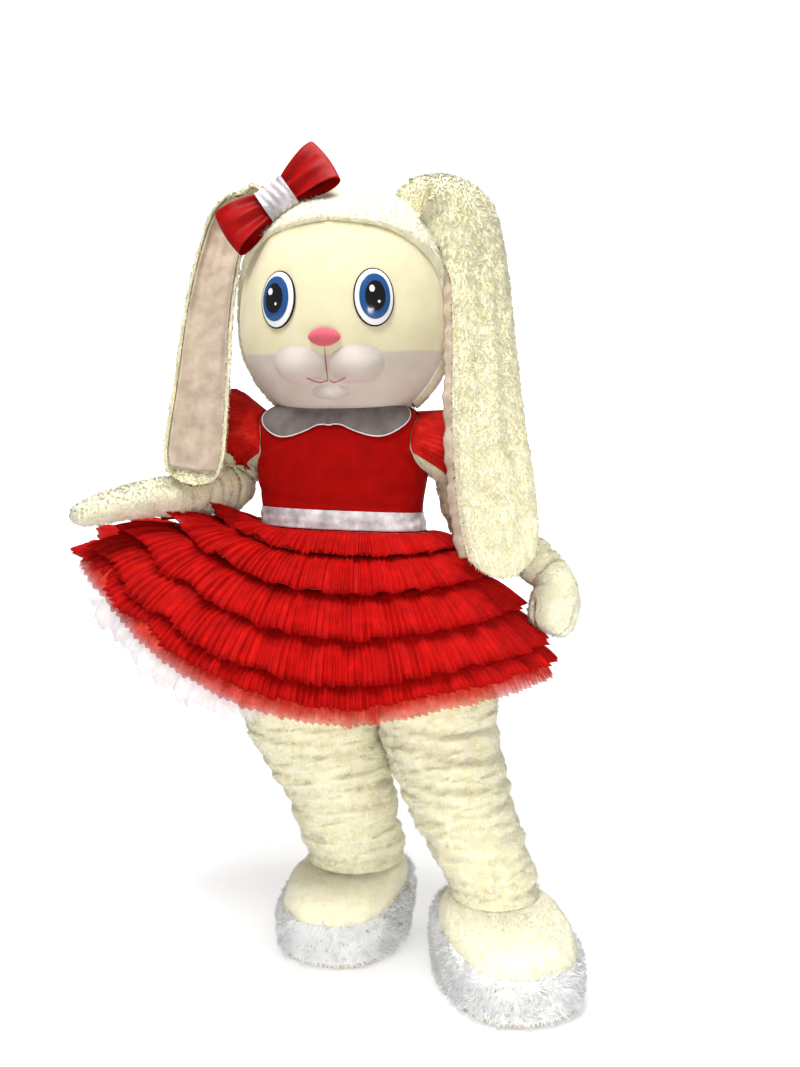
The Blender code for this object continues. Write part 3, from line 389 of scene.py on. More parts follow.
def ear_shape(path, across, along, lift):
    row = read(path, along)
    ahead, behind = read(path, np.minimum(along + 0.01, 1.0)), read(path, np.maximum(along - 0.01, 0.0))
    tangent = unit(middle_of(ahead) - middle_of(behind))
    heading, climb = np.radians(row["heading"]), np.radians(row["climb"])
    back = points(np.sin(heading) * np.cos(climb), -np.cos(heading) * np.cos(climb), np.sin(climb))
    back = unit(back - tangent * np.sum(back * tangent, axis=-1, keepdims=True))
    wide = np.cross(tangent, back)
    curl = (np.radians(row["curl"]) * across)[..., None]
    reach = (row["half_width"] / np.radians(row["curl"]))[..., None]
    out = wide * np.sin(curl) + back * np.cos(curl)
    return middle_of(row) - back * reach + out * (reach + np.asarray(lift)[..., None])


SKIRT_ROUND = [{**row, "angle": row["angle"] + turn} for turn in (-360.0, 0.0, 360.0) for row in SKIRT]


def skirt(angle, share):
    """The skirt's smooth form at an angle round the waist and a share of the way down to the hem."""
    angle, share = np.broadcast_arrays(np.asarray(angle, float), np.asarray(share, float))
    row = read(SKIRT_ROUND, angle)
    height = waist(angle)
    start = torso(angle / 360, (height - TORSO_BASE) / TORSO_SPAN) + ring(angle, 0.0065, 0.0065)
    turn = np.radians(angle)
    away = points(np.sin(turn), -np.cos(turn), 0.0)
    knee = away * row["knee_reach"][..., None]
    knee[..., 2] += row["knee_height"]
    hem = away * row["hem_reach"][..., None]
    hem[..., 2] += row["hem_height"]
    s = share[..., None]
    return start * (1 - s) ** 2 + knee * 2 * s * (1 - s) + hem * s * s


def skirt_out(angle, share):
    across = skirt(angle + 0.5, share) - skirt(angle - 0.5, share)
    down = skirt(angle, np.maximum(share, 0.12) + 0.01) - skirt(angle, np.maximum(share - 0.01, 0.0))
    return unit(np.cross(down, across))


# Making pieces
def linear(hex_colour):
    """A colour written as in a paint program, turned to the shares that the shader wants."""
    found = []
    for k in (0, 2, 4):
        share = int(hex_colour[k : k + 2], 16) / 255
        found.append(share / 12.92 if share <= 0.04045 else ((share + 0.055) / 1.055) ** 2.4)
    return (*found, 1.0)


def finish_piece(bm, name, material, smooth=True):
    mesh = bpy.data.meshes.new(name)
    bm.to_mesh(mesh)
    bm.free()
    mesh.materials.append(material)
    if smooth:
        mesh.shade_smooth()
    piece = bpy.data.objects.new(name, mesh)
    bpy.context.scene.collection.objects.link(piece)
    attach(piece, "root")
    return piece


def cloth(name, surface, columns, rows, material, thickness=0.0, inward=False, node=None):
    """A sheet of cloth from a grid. surface(u, v) gives its points, with heights above the floor."""
    bm = bmesh.new()
    bm.loops.layers.uv.new("weave")
    bmesh.ops.create_grid(bm, x_segments=columns, y_segments=rows, size=0.5, calc_uvs=True)
    flat = np.array([vert.co[:2] for vert in bm.verts]) + 0.5
    places = surface(flat[:, 0], flat[:, 1])
    for vert, place in zip(bm.verts, places):
        vert.co = (place[0], place[1], place[2] - SHOULDER_HEIGHT)
    bmesh.ops.remove_doubles(bm, verts=bm.verts, dist=2e-5)
    bm.normal_update()
    middle = np.mean([vert.co for vert in bm.verts], axis=0)
    facing = sum(
        (face.calc_center_median() - Vector(middle)).dot(face.normal) * face.calc_area() for face in bm.faces
    )
    if (facing < 0) != inward:
        bmesh.ops.reverse_faces(bm, faces=bm.faces)
    piece = finish_piece(bm, name, material)
    if thickness:
        wall = piece.modifiers.new("wall", "SOLIDIFY")
        wall.thickness = thickness
        wall.offset = -1.0
        wall.use_rim = True
    if node:
        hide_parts(node)
    return piece


def comb_down(places, normals):
    return np.broadcast_to(np.array([0.0, 0.0, -1.0]), normals.shape)


def pile(name, hosts, spacing, length, width, lean, material, seed, comb=comb_down, keep=None,
         swirl=0.5, relief=0.30):
    """Tufts of pile on the hosts' outer faces: one three-sided tuft for each spacing squared of cloth.

    lean tips the tufts along the comb's direction. swirl turns them unevenly, as worn pile lies. relief is
    how much each tuft's own sides show in its shading.
    """
    maker = np.random.default_rng(seed)
    roots, normals = [], []
    for host in hosts:
        mesh = host.data
        mesh.calc_loop_triangles()
        corners = np.array([vert.co for vert in mesh.vertices])
        smooth = np.array([vert.normal for vert in mesh.vertices])
        triangles = np.array([part.vertices[:] for part in mesh.loop_triangles])
        a, b, c = (corners[triangles[:, k]] for k in range(3))
        areas = np.linalg.norm(np.cross(b - a, c - a), axis=1) / 2
        count = int(areas.sum() / spacing**2)
        pick = maker.choice(len(areas), count, p=areas / areas.sum())
        s, t = np.sqrt(maker.random(count)), maker.random(count)
        shares = np.stack([1 - s, s * (1 - t), s * t], axis=1)[:, :, None]
        roots.append((corners[triangles[pick]] * shares).sum(axis=1))
        normals.append(unit((smooth[triangles[pick]] * shares).sum(axis=1)))
    roots, normals = np.concatenate(roots), np.concatenate(normals)
    if keep is not None:
        kept = keep(roots, normals)
        roots, normals = roots[kept], normals[kept]
    count = len(roots)
    lay = comb(roots, normals)
    lay = unit(lay - normals * np.sum(lay * normals, axis=1, keepdims=True) + 1e-6)
    side = np.cross(normals, lay)
    lumps = rough(roots, 0.030, seed)
    fine = rough(roots, 0.011, seed + 3.7)
    turn = (lumps * 1.6 + fine * 1.2) * swirl + maker.normal(0, 0.35, count) * swirl
    way = lay * np.cos(turn)[:, None] + side * np.sin(turn)[:, None]
    lean_of = lean * (1 + 0.5 * fine)[:, None]
    tall = (length * (0.75 + 0.5 * maker.random(count)) * (1 + 0.35 * lumps))[:, None]
    tips = roots + unit(normals + way * lean_of) * tall
    tips[:, 2] = np.maximum(tips[:, 2], 0.0012 - SHOULDER_HEIGHT)
    spin = maker.random(count) * math.tau
    verts, shading = [tips], [unit(normals + way * 0.25 + side * maker.normal(0, relief, count)[:, None])]
    for k in range(3):
        angle = (spin + k * math.tau / 3)[:, None]
        away = lay * np.cos(angle) + side * np.sin(angle)
        verts.append(roots + away * width / 2 - normals * 0.0012)
        shading.append(unit(normals + away * relief * 1.4))
    verts = np.stack(verts, axis=1).reshape(-1, 3)
    shading = np.stack(shading, axis=1).reshape(-1, 3)
    base = np.arange(count)[:, None] * 4
    faces = np.concatenate([base + np.array(tri) for tri in ((0, 1, 2), (0, 2, 3), (0, 3, 1))])
    mesh = bpy.data.meshes.new(name)
    mesh.from_pydata(verts.tolist(), [], faces.tolist())
    # height runs from 0 at a tuft's root to 1 at its tip; the plush shader darkens the roots with it as
    # painted shade
    height = mesh.attributes.new("height", "FLOAT", "POINT")
    height.data.foreach_set("value", np.tile([1.0, 0.0, 0.0, 0.0], count).astype(np.float32))
    shade = mesh.attributes.new("strand", "FLOAT", "POINT")
    shade.data.foreach_set("value", np.repeat(maker.random(count), 4).astype(np.float32))
    mesh.materials.append(material)
    mesh.shade_smooth()
    # The tufts take their shading from the cloth they stand on, as dense pile does
    mesh.normals_split_custom_set_from_vertices(shading.tolist())
    piece = bpy.data.objects.new(name, mesh)
    bpy.context.scene.collection.objects.link(piece)
    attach(piece, "root")
    return piece


# Materials
def new_material(name):
    material = bpy.data.materials.new(name)
    material.use_nodes = True
    tree = material.node_tree
    return material, tree, tree.nodes["Principled BSDF"]


def add(tree, kind, settings=(), inputs=(), links=()):
    """Adds a node with its settings, its socket values and the links into it."""
    node = tree.nodes.new(kind)
    for key, value in dict(settings).items():
        setattr(node, key, value)
    for key, value in dict(inputs).items():
        node.inputs[key].default_value = value
    for key, output in dict(links).items():
        tree.links.new(output, node.inputs[key])
    return node


def ramp(tree, factor, *stops):
    """Colours or shades at places along a factor from 0 to 1."""
    node = add(tree, "ShaderNodeValToRGB", links={"Fac": factor})
    elements = node.color_ramp.elements
    while len(elements) < len(stops):
        elements.new(0.5)
    for element, (position, colour) in zip(elements, stops):
        element.position = position
        element.color = linear(colour) if isinstance(colour, str) else (colour, colour, colour, 1.0)
    return node.outputs["Color"]


def plush_material(name, dark, middle, light, sheen=0.35):
    """Long-pile plush. Its tufts are darker at their roots, which is painted shade where the pile shades
    itself. Each tuft has its own tone.
    """
    material, tree, shader = new_material(name)
    where = add(tree, "ShaderNodeTexCoord").outputs["Object"]
    # Lumps of matted pile about 25 mm across, and curls of about 6 mm
    lumps = add(
        tree, "ShaderNodeTexNoise", inputs={"Scale": 1 / 0.025, "Detail": 3.0}, links={"Vector": where},
    )
    curls = add(
        tree, "ShaderNodeTexNoise", inputs={"Scale": 1 / 0.006, "Detail": 4.0}, links={"Vector": where},
    )
    height = add(tree, "ShaderNodeAttribute", {"attribute_name": "height"})
    strand = add(tree, "ShaderNodeAttribute", {"attribute_name": "strand"})
    first = add(
        tree, "ShaderNodeMath", {"operation": "MULTIPLY_ADD"}, {1: 0.45},
        {0: height.outputs["Fac"], 2: lumps.outputs["Fac"]},
    )
    second = add(
        tree, "ShaderNodeMath", {"operation": "MULTIPLY_ADD"}, {1: 0.22},
        {0: strand.outputs["Fac"], 2: first.outputs[0]},
    )
    third = add(
        tree, "ShaderNodeMath", {"operation": "MULTIPLY_ADD"}, {1: 0.35},
        {0: curls.outputs["Fac"], 2: second.outputs[0]},
    )
    # The dark end of the ramp, at the tufts' roots and on cloth without tufts, is painted shade
    colour = ramp(tree, third.outputs[0], (0.35, dark), (0.70, middle), (1.0, light))
    tree.links.new(colour, shader.inputs["Base Color"])
    shader.inputs["Roughness"].default_value = 0.95
    shader.inputs["Specular IOR Level"].default_value = 0.2
    shader.inputs["Sheen Weight"].default_value = sheen
    shader.inputs["Sheen Roughness"].default_value = 0.6
    shader.inputs["Sheen Tint"].default_value = linear(light)
    bump = add(
        tree, "ShaderNodeBump", inputs={"Strength": 0.5, "Distance": 0.004},
        links={"Height": curls.outputs["Fac"]},
    )
    tree.links.new(bump.outputs["Normal"], shader.inputs["Normal"])
    return material


def fleece_material(name, colours, seam_height=None):
    """Short shaved fleece on foam, matt, its nap about 2 mm across. Other colours lie below the seam."""
    material, tree, shader = new_material(name)
    where = add(tree, "ShaderNodeTexCoord").outputs["Object"]
    nap = add(tree, "ShaderNodeTexNoise", inputs={"Scale": 1 / 0.002, "Detail": 3.0}, links={"Vector": where})
    cloud = add(
        tree, "ShaderNodeTexNoise", inputs={"Scale": 1 / 0.05, "Detail": 2.0}, links={"Vector": where},
    )
    mixed = add(
        tree, "ShaderNodeMath", {"operation": "MULTIPLY_ADD"}, {1: 0.4},
        {0: nap.outputs["Fac"], 2: cloud.outputs["Fac"]},
    )
    colour = ramp(tree, mixed.outputs[0], (0.35, colours[0]), (1.0, colours[1]))
    if seam_height is not None:
        # The lower face is cut from white fleece, its colours greyed as painted shade; the seam rises towards
        # the cheeks
        height = add(tree, "ShaderNodeSeparateXYZ", links={"Vector": where})
        across = add(
            tree, "ShaderNodeMath", {"operation": "MULTIPLY"}, {},
            {0: height.outputs["X"], 1: height.outputs["X"]},
        )
        level = add(
            tree, "ShaderNodeMath", {"operation": "MULTIPLY_ADD"}, {1: -0.35},
            {0: across.outputs[0], 2: height.outputs["Z"]},
        )
        below = add(
            tree, "ShaderNodeMapRange", {},
            {"From Min": seam_height - 0.003, "From Max": seam_height + 0.003},
            {"Value": level.outputs[0]},
        )
        # The white fleece's colours, greyed darker than the cream as painted shade
        white = ramp(tree, mixed.outputs[0], (0.35, colours[2]), (1.0, colours[3]))
        blend = add(tree, "ShaderNodeMix", {"data_type": "RGBA"}, {}, {"Factor": below.outputs["Result"]})
        tree.links.new(white, blend.inputs["A"])
        tree.links.new(colour, blend.inputs["B"])
        colour = blend.outputs["Result"]
    tree.links.new(colour, shader.inputs["Base Color"])
    shader.inputs["Roughness"].default_value = 0.92
    shader.inputs["Specular IOR Level"].default_value = 0.2
    shader.inputs["Sheen Weight"].default_value = 0.3
    shader.inputs["Sheen Roughness"].default_value = 0.5
    bump = add(
        tree, "ShaderNodeBump", inputs={"Strength": 0.25, "Distance": 0.001},
        links={"Height": nap.outputs["Fac"]},
    )
    tree.links.new(bump.outputs["Normal"], shader.inputs["Normal"])
    return material


def woven_material(name, colours, roughness, thread, crush=0.0, anisotropy=0.0, specular=0.2):
    """Woven or knitted cloth. thread is its threads' spacing in metres, crush how deep its rumples are."""
    material, tree, shader = new_material(name)
    where = add(tree, "ShaderNodeTexCoord").outputs["Object"]
    cloud = add(
        tree, "ShaderNodeTexNoise", inputs={"Scale": 1 / 0.035, "Detail": 4.0}, links={"Vector": where},
    )
    colour = ramp(tree, cloud.outputs["Fac"], (0.30, colours[0]), (0.52, colours[1]), (0.75, colours[2]))
    tree.links.new(colour, shader.inputs["Base Color"])
    shader.inputs["Roughness"].default_value = roughness
    shader.inputs["Specular IOR Level"].default_value = specular
    shader.inputs["Anisotropic"].default_value = anisotropy
    weave = add(tree, "ShaderNodeTexVoronoi", {}, {"Scale": 1 / thread}, {"Vector": where})
    rumple = add(
        tree, "ShaderNodeTexNoise", inputs={"Scale": 1 / 0.012, "Detail": 3.0}, links={"Vector": where},
    )
    fine = add(
        tree, "ShaderNodeBump", inputs={"Strength": 0.25, "Distance": thread * 0.3},
        links={"Height": weave.outputs["Distance"]},
    )
    soft = add(
        tree, "ShaderNodeBump", inputs={"Strength": crush, "Distance": 0.004},
        links={"Height": rumple.outputs["Fac"], "Normal": fine.outputs["Normal"]},
    )
    tree.links.new(soft.outputs["Normal"], shader.inputs["Normal"])
    return material


def tulle_material(name, colours, alpha, edge_alpha, thin_from):
    """Stiff tulle in a single fold: seen through at its hem and denser where its gathers overlap."""
    material, tree, shader = new_material(name)
    uv = add(tree, "ShaderNodeUVMap", {"uv_map": "weave"})
    where = add(tree, "ShaderNodeTexCoord").outputs["Object"]
    split = add(tree, "ShaderNodeSeparateXYZ", links={"Vector": uv.outputs["UV"]})
    cloud = add(
        tree, "ShaderNodeTexNoise", inputs={"Scale": 1 / 0.03, "Detail": 5.0}, links={"Vector": where},
    )
    # Crushed gathers run down the strip: narrow streaks about 4 mm wide
    streaks = add(
        tree, "ShaderNodeMapping", inputs={"Scale": (420.0, 1.5, 1.0)}, links={"Vector": uv.outputs["UV"]},
    )
    lines = add(
        tree, "ShaderNodeTexNoise", inputs={"Scale": 1.0, "Detail": 2.0},
        links={"Vector": streaks.outputs["Vector"]},
    )
    mixed = add(
        tree, "ShaderNodeMath", {"operation": "MULTIPLY_ADD"}, {1: 0.5},
        {0: lines.outputs["Fac"], 2: cloud.outputs["Fac"]},
    )
    colour = ramp(tree, mixed.outputs[0], (0.50, colours[0]), (0.75, colours[1]), (1.0, colours[2]))
    tree.links.new(colour, shader.inputs["Base Color"])
    sheer = add(
        tree, "ShaderNodeMapRange", {},
        {"From Min": thin_from, "From Max": 1.0, "To Min": alpha, "To Max": edge_alpha},
        {"Value": split.outputs["Y"]},
    )
    tree.links.new(sheer.outputs["Result"], shader.inputs["Alpha"])
    shader.inputs["Roughness"].default_value = 0.75
    shader.inputs["Specular IOR Level"].default_value = 0.12
    bump = add(
        tree, "ShaderNodeBump", inputs={"Strength": 0.35, "Distance": 0.002},
        links={"Height": lines.outputs["Fac"]},
    )
    tree.links.new(bump.outputs["Normal"], shader.inputs["Normal"])
    return material


def moulded_material(name, colour, roughness, coat):
    """Hard glossy plastic, moulded, as toy eyes are. Its face is dusty in soft patches."""
    material, tree, shader = new_material(name)
    where = add(tree, "ShaderNodeTexCoord").outputs["Object"]
    dust = add(tree, "ShaderNodeTexNoise", inputs={"Scale": 1 / 0.02, "Detail": 4.0}, links={"Vector": where})
    worn = add(
        tree, "ShaderNodeMapRange", {}, {"To Min": roughness, "To Max": roughness + 0.12},
        {"Value": dust.outputs["Fac"]},
    )
    tree.links.new(worn.outputs["Result"], shader.inputs["Roughness"])
    shader.inputs["Base Color"].default_value = linear(colour)
    shader.inputs["IOR"].default_value = 1.49
    shader.inputs["Coat Weight"].default_value = coat
    return material


CREAM_PLUSH = plush_material("plush_cream_long_pile", "CFC696", "EFE7BE", "FBF7DC")
# The same cream plush made lighter, as painted light, for the hood, the mitts and the shoes
PAINTED_LIGHT_PLUSH = plush_material("plush_cream_painted_light", "E8E0B8", "F8F2D0", "FEFCE6")
# The fur's dark grey root colour is painted shade among the white strands
WHITE_FUR = plush_material("fur_white_long", "7E7A76", "F4F2EC", "FFFFFF", sheen=0.2)
# The lower face's white fleece is greyed darker than the cream above it: painted shade on the lower face,
# which turns away from the light above
FACE_FLEECE = fleece_material(
    "fleece_cream_and_shaded_white", ("DCD2AA", "E8DFBA", "C6B9AA", "D4C9BE"), seam_height=0.097,
)
# The white fleece of the muzzle and chin pads is greyed in the same way: painted shade
SHADED_WHITE_FLEECE = fleece_material("fleece_white_painted_shade", ("C6BAAE", "D4CAC0"))
NOSE_FLEECE = fleece_material("fleece_rose", ("C8505E", "DC6A78"))
EAR_SATIN = woven_material(
    "satin_blush", ("A89684", "BCAA96", "CEBEAC"), 0.55, 0.0009, crush=0.08, specular=0.1,
)
RED_COTTON = woven_material(
    "cotton_jersey_red", ("920402", "9C0502", "A60603"), 0.85, 0.0011, crush=0.06, specular=0.08,
)
# The collar's light grey cotton is darkened all over: painted shade, for the head's shadow on it
COLLAR_COTTON = woven_material(
    "cotton_batiste_grey_painted_shade", ("6C6260", "79706D", "857C79"), 0.80, 0.0010, crush=0.12, specular=0.1,
)
PIPING_COTTON = woven_material("cotton_piping_white", ("D2CCCC", "DEDADA", "EAE6E6"), 0.7, 0.0010)
SILVER_SATIN = woven_material(
    "satin_silver", ("A09A9C", "C6BFC1", "F0ECEE"), 0.27, 0.0008, crush=0.7, anisotropy=0.4,
)
RED_SATIN = woven_material(
    "satin_red", ("8A0604", "980806", "A60B08"), 0.46, 0.0008, crush=0.10, anisotropy=0.3, specular=0.12,
)
RED_TULLE = tulle_material("tulle_red", ("9E0402", "B40603", "C80A05"), 1.0, 0.80, thin_from=0.80)
SHEER_TULLE = tulle_material("tulle_red_single", ("C81A10", "DE3A2A", "EE5E4C"), 1.0, 0.36, thin_from=0.93)
CAP_TULLE = tulle_material("tulle_red_cap", ("980803", "B40E06", "D0281C"), 1.0, 0.62, thin_from=0.4)
WHITE_NET = tulle_material("net_white", ("E2CFCF", "F0E6E6", "FFFFFF"), 0.75, 0.34, thin_from=0.72)
EYE_WHITE = moulded_material("plastic_white_gloss", "F4F4F4", 0.12, coat=0.5)
IRIS_BLUE = moulded_material("plastic_blue_gloss", "1F4F8A", 0.12, coat=0.6)
PUPIL_BLACK = moulded_material("plastic_black_gloss", "0A0A0E", 0.08, coat=0.8)
SOLE_RUBBER = woven_material("rubber_crepe", ("B8B2A4", "C6C0B2", "D2CCBE"), 0.85, 0.0030, crush=0.3)
MOUTH_CORD = woven_material("cotton_cord_rose", ("8E3A40", "9C444A", "A85056"), 0.8, 0.0008)
EYE_RIM = woven_material("felt_dark", ("1A1618", "241E20", "2E282A"), 0.9, 0.0008)


# Head: fleece over the foam, then the hood and the face
NECK_SHARE = 0.07
BROW_RISE = 36.0
HOOD_LIFT = 0.0137


def face_skin(u, v):
    """The fleece over the head. Its lowest part turns in under the chin to the neck."""
    under = np.clip((NECK_SHARE - v) / NECK_SHARE, 0.0, 1.0)
    rim = head(u, np.clip((v - NECK_SHARE) / (1 - NECK_SHARE), 0.0, 1.0))
    turn = under * math.pi / 2
    inward = unit((rim - np.array([HEAD["x"], HEAD["y"], 0.0])) * np.array([1.0, 1.0, 0.0]))
    rim = rim - inward * (0.034 * (1 - np.cos(turn)))[:, None]
    rim[:, 2] -= 0.010 * np.sin(turn)
    return rim


cloth("head_skin", face_skin, 120, 104, FACE_FLEECE, thickness=0.004, node="head_shell")


def hood_edge(rise):
    return np.where(rise < BROW_RISE, read(FACE_OPENING, rise + 1.0)["turn"], 0.0)


def hood_surface(u, v):
    rise = -53.0 + 143.0 * v
    edge = hood_edge(rise)
    turn = edge + (360 - 2 * edge) * u
    roll = np.exp(-(np.minimum(u, 1 - u) * (360 - 2 * edge) / 3.2) ** 2) * (rise < BROW_RISE)
    lift = HOOD_LIFT - 0.0105 * roll
    base = on_head(turn, rise, HOOD_LIFT)
    lumps = 0.0022 * rough(base, 0.06, 4.0)
    # The forehead seam runs across the hood above the brow
    seam = 0.0035 * np.exp(-(((rise - 52.0) / 1.6) ** 2)) * ease((60 - np.abs(turned(turn))) / 20)
    return on_head(turn, np.minimum(rise, 89.9), lift + lumps - seam)


# The hood is cut from the lighter copy of the cream plush: painted light
hood = cloth(
    "hood_plush", hood_surface, 120, 90, PAINTED_LIGHT_PLUSH, thickness=0.0078, node="hood",
)


def comb_hood(places, normals):
    away = places - np.array([HEAD["x"], -0.15, 0.38])
    return np.where(away[:, 2:] > -0.02, away * np.array([1.0, 0.6, 0.4]), np.array([0.0, 0.15, -1.0]))


pile("hood_pile", [hood], 0.0046, 0.0060, 0.0040, 0.9, PAINTED_LIGHT_PLUSH, 11, comb=comb_hood)


def head_reach(rise):
    return 0.24 * max(math.cos(math.radians(rise)), 0.2)


def pad(name, piece, share, low, high, material, node, squareness=None, around=48, rings=14):
    """A stuffed or moulded pad on the head: a dome whose rim turns down to the fleece."""

    def surface(u, v):
        reach = np.sin(v * math.pi / 2) * share
        square = squareness or piece["squareness"]
        flat = ring(u * 360, piece["half_width"] * reach, piece["half_height"] * reach, square)
        turn = piece["turn"] + np.degrees(flat[:, 0] / head_reach(piece["rise"]))
        rise = piece["rise"] + np.degrees(-flat[:, 1] / HEAD_RADIUS)
        return on_head(turn, rise, high(reach / share) * np.ones_like(turn))

    found = cloth(name, surface, around, rings, material, node=node)
    edge = found.modifiers.new("edge", "SOLIDIFY")
    edge.thickness = low
    edge.offset = -1.0
    return found


def dome(height, seat, soft):
    """How far a pad stands up at a share of its reach. A soft pad flows into the face at its rim."""

    def lift(reach):
        if soft:
            return 0.0006 + (height + seat) * np.clip(1 - reach**2.2, 0.0, 1.0) ** 1.25
        return seat + 0.002 + height * np.sqrt(np.clip(1 - reach * reach * 0.98, 0.0, 1.0))

    return lift


def cord_on_head(name, line, radius, material, closed=False):
    """A thin cord along line(v), which gives turn, rise and lift on the head."""

    def surface(u, v):
        turn, rise, lift = line(v)
        ahead = on_head(*line(v + 1e-3))
        behind = on_head(*line(v - 1e-3))
        middle = on_head(turn, rise, lift)
        out = unit(middle - np.array([HEAD["x"], HEAD["y"], HEAD["height"]]))
        side = unit(np.cross(unit(ahead - behind), out))
        swing = u * math.tau
        thin = radius if closed else radius * np.sqrt(np.clip(np.sin(np.clip(v, 0, 1) * math.pi), 0.02, 1.0))
        thin = np.broadcast_to(thin, u.shape)
        return middle + side * (thin * np.cos(swing))[:, None] + out * (thin * np.sin(swing))[:, None]

    return cloth(name, surface, 10, 90, material)


def eye_trim(piece, rounded):
    """A dark felt rim sewn round the eye, and two white discs set in the pupil as painted highlights."""
    side = piece["name"][4:]

    def rim(v):
        flat = ring(np.asarray(v) * 360, piece["half_width"], piece["half_height"])
        turn = piece["turn"] + np.degrees(flat[..., 0] / head_reach(piece["rise"]))
        rise = piece["rise"] + np.degrees(flat[..., 1] / HEAD_RADIUS)
        return turn, rise, np.full(np.shape(turn), 0.0042)

    cord_on_head(f"eye_rim_{side}", rim, 0.0028, EYE_RIM, closed=True)
    # Two small white discs on the pupil: painted highlights
    for name, across, up, size in (("large", -0.17, 0.22, 0.13), ("small", 0.16, -0.20, 0.06)):
        spot = dict(piece)
        reach = math.hypot(across, up)
        spot["turn"] = piece["turn"] + math.degrees(across * piece["half_width"] / head_reach(piece["rise"]))
        spot["rise"] = piece["rise"] + math.degrees(up * piece["half_height"] / HEAD_RADIUS)
        spot["half_height"] = piece["half_width"]
        pad(
            f"painted_highlight_{name}_{side}", spot, size, 0.0006,
            lambda r: rounded(np.clip(reach + 0 * r, 0, 1)) + 0.0046, EYE_WHITE, None,
            squareness=2.0, around=20, rings=4,
        )


for piece in FACE:
    kind, side = (piece["name"].split("_") + [""])[:2]
    rounded = dome(piece["height"], piece["seat"], kind in ("muzzle", "chin"))
    if kind == "eye":
        pad(f"eye_white_{side}", piece, 1.0, 0.003, rounded, EYE_WHITE, piece["name"])
        for part, share, rest, look, slot in (
            ("iris", 0.78, 0.0012, IRIS_BLUE, "iris_plastic"),
            ("pupil", 0.50, 0.0030, PUPIL_BLACK, "pupil_plastic"),
        ):
            pad(
                f"{part}_disc_{side}", piece, share, 0.001, lambda reach: rounded(reach * share) + rest,
                look, f"{part}_{side}", squareness=2.0,
            )
        eye_trim(piece, rounded)
    else:
        look, slot = (NOSE_FLEECE, "nose_fleece") if kind == "nose" else (SHADED_WHITE_FLEECE, "white_fleece")
        pad(f"{piece['name']}_pad", piece, 1.0, 0.002, rounded, look, piece["name"])


def mouth_line(v):
    """A soft smile that runs under both muzzle pads."""
    across = (np.asarray(v) - 0.5) * 2
    turn = across * 13.0
    rise = -40.5 + 5.5 * np.abs(across) ** 1.6
    lift = 0.0225 * np.clip(1 - ((np.abs(turn) - 12.0) / 16.0) ** 2, 0, 1)
    return turn, rise, np.maximum(lift, 0.004) - 0.012 * np.exp(-((across / 0.16) ** 2))


def philtrum_line(v):
    """The seam from the nose down to the mouth."""
    rise = -24.0 - 16.5 * np.asarray(v)
    return np.zeros_like(rise), rise, np.full(np.shape(rise), 0.0065)


cord_on_head("mouth_cord", mouth_line, 0.0014, MOUTH_CORD)
cord_on_head("nose_cord", philtrum_line, 0.0014, MOUTH_CORD)


# Ears: plush back wrapped over the foam's edge, and a satin lining inside the curl.
# Folds down the hanging ear: place across it, width, depth (a ridge where negative) and drift along it
EAR_FOLDS = (
    (0.18, 0.20, 0.0072, 0.55),
    (0.66, 0.14, -0.0060, 0.30),
    (-0.42, 0.20, 0.0065, -0.30),
)


def ear_plush(path, drape):
    """The plush side. drape is how far its front edge hangs down over the fold at the top of the ear."""

    def surface(u, v):
        turn = (-0.16 + 1.32 * u) * math.pi
        close = np.sqrt(np.clip(1 - np.clip((v - 0.955) / 0.045, 0, 1) ** 2, 0, 1))
        across = -power(np.cos(turn), 0.75) * close
        hang = np.exp(-(((v - 0.19) / 0.10) ** 2)) * (1 + 0.18 * np.cos(v * 75))
        across = across + drape * ease((across - 0.2) / 0.8) * hang
        lift = -EAR_FOAM / 2 + EAR_FOAM / 2 * power(np.sin(turn), 0.5) * np.maximum(close, 0.3)
        base = ear_shape(path, across, v, lift)
        lumps = 0.0035 * rough(base, 0.07, 9.0) + 0.0015 * rough(base, 0.03, 5.0)
        hanging = ease((v - 0.22) / 0.15) * ease((1 - v) / 0.10)
        for where, width, depth, drift in EAR_FOLDS:
            off = (across - where - drift * (v - 0.5)) / width
            lumps = lumps - depth * hanging * np.exp(-off * off)
        return ear_shape(path, across, v, lift + lumps * np.sin(turn))

    return surface


def ear_satin(path, low, high):
    """The lining. Where it reaches past the plush's edge it shows from the front as a puckered strip."""

    def surface(u, v):
        across = low + (high - low) * u
        along = 0.05 + 0.90 * v
        # Long soft creases run down the lining from its gathered top
        crease = 0.0034 * np.cos(across * 5.0 + 3.2 * np.sin(along * 3.0)) * (1 - 0.3 * along)
        crease = crease + 0.0009 * np.cos(across * 15.0 + along * 7.0)
        strip = ease((across - 0.90) / 0.2)
        pucker = 0.0028 * np.cos(along * 190 + 3 * np.sin(along * 23)) + 0.0030 * np.cos(along * 61)
        lift = (-EAR_FOAM - 0.0030 + crease) * (1 - strip) + (-EAR_FOAM * 0.55 + pucker) * strip
        lip = ease((np.abs(across) - 0.80) / 0.12) * (1 - strip)
        place = ear_shape(path, across, along, lift + 0.0022 * lip)
        soft = 0.0030 * rough(place, 0.06, 15.0) + 0.0012 * rough(place, 0.022, 8.0)
        soft = soft * (1 - lip) * (1 - strip)
        return ear_shape(path, across, along, lift + 0.0022 * lip + np.clip(soft, -0.0026, 0.0004))

    return surface


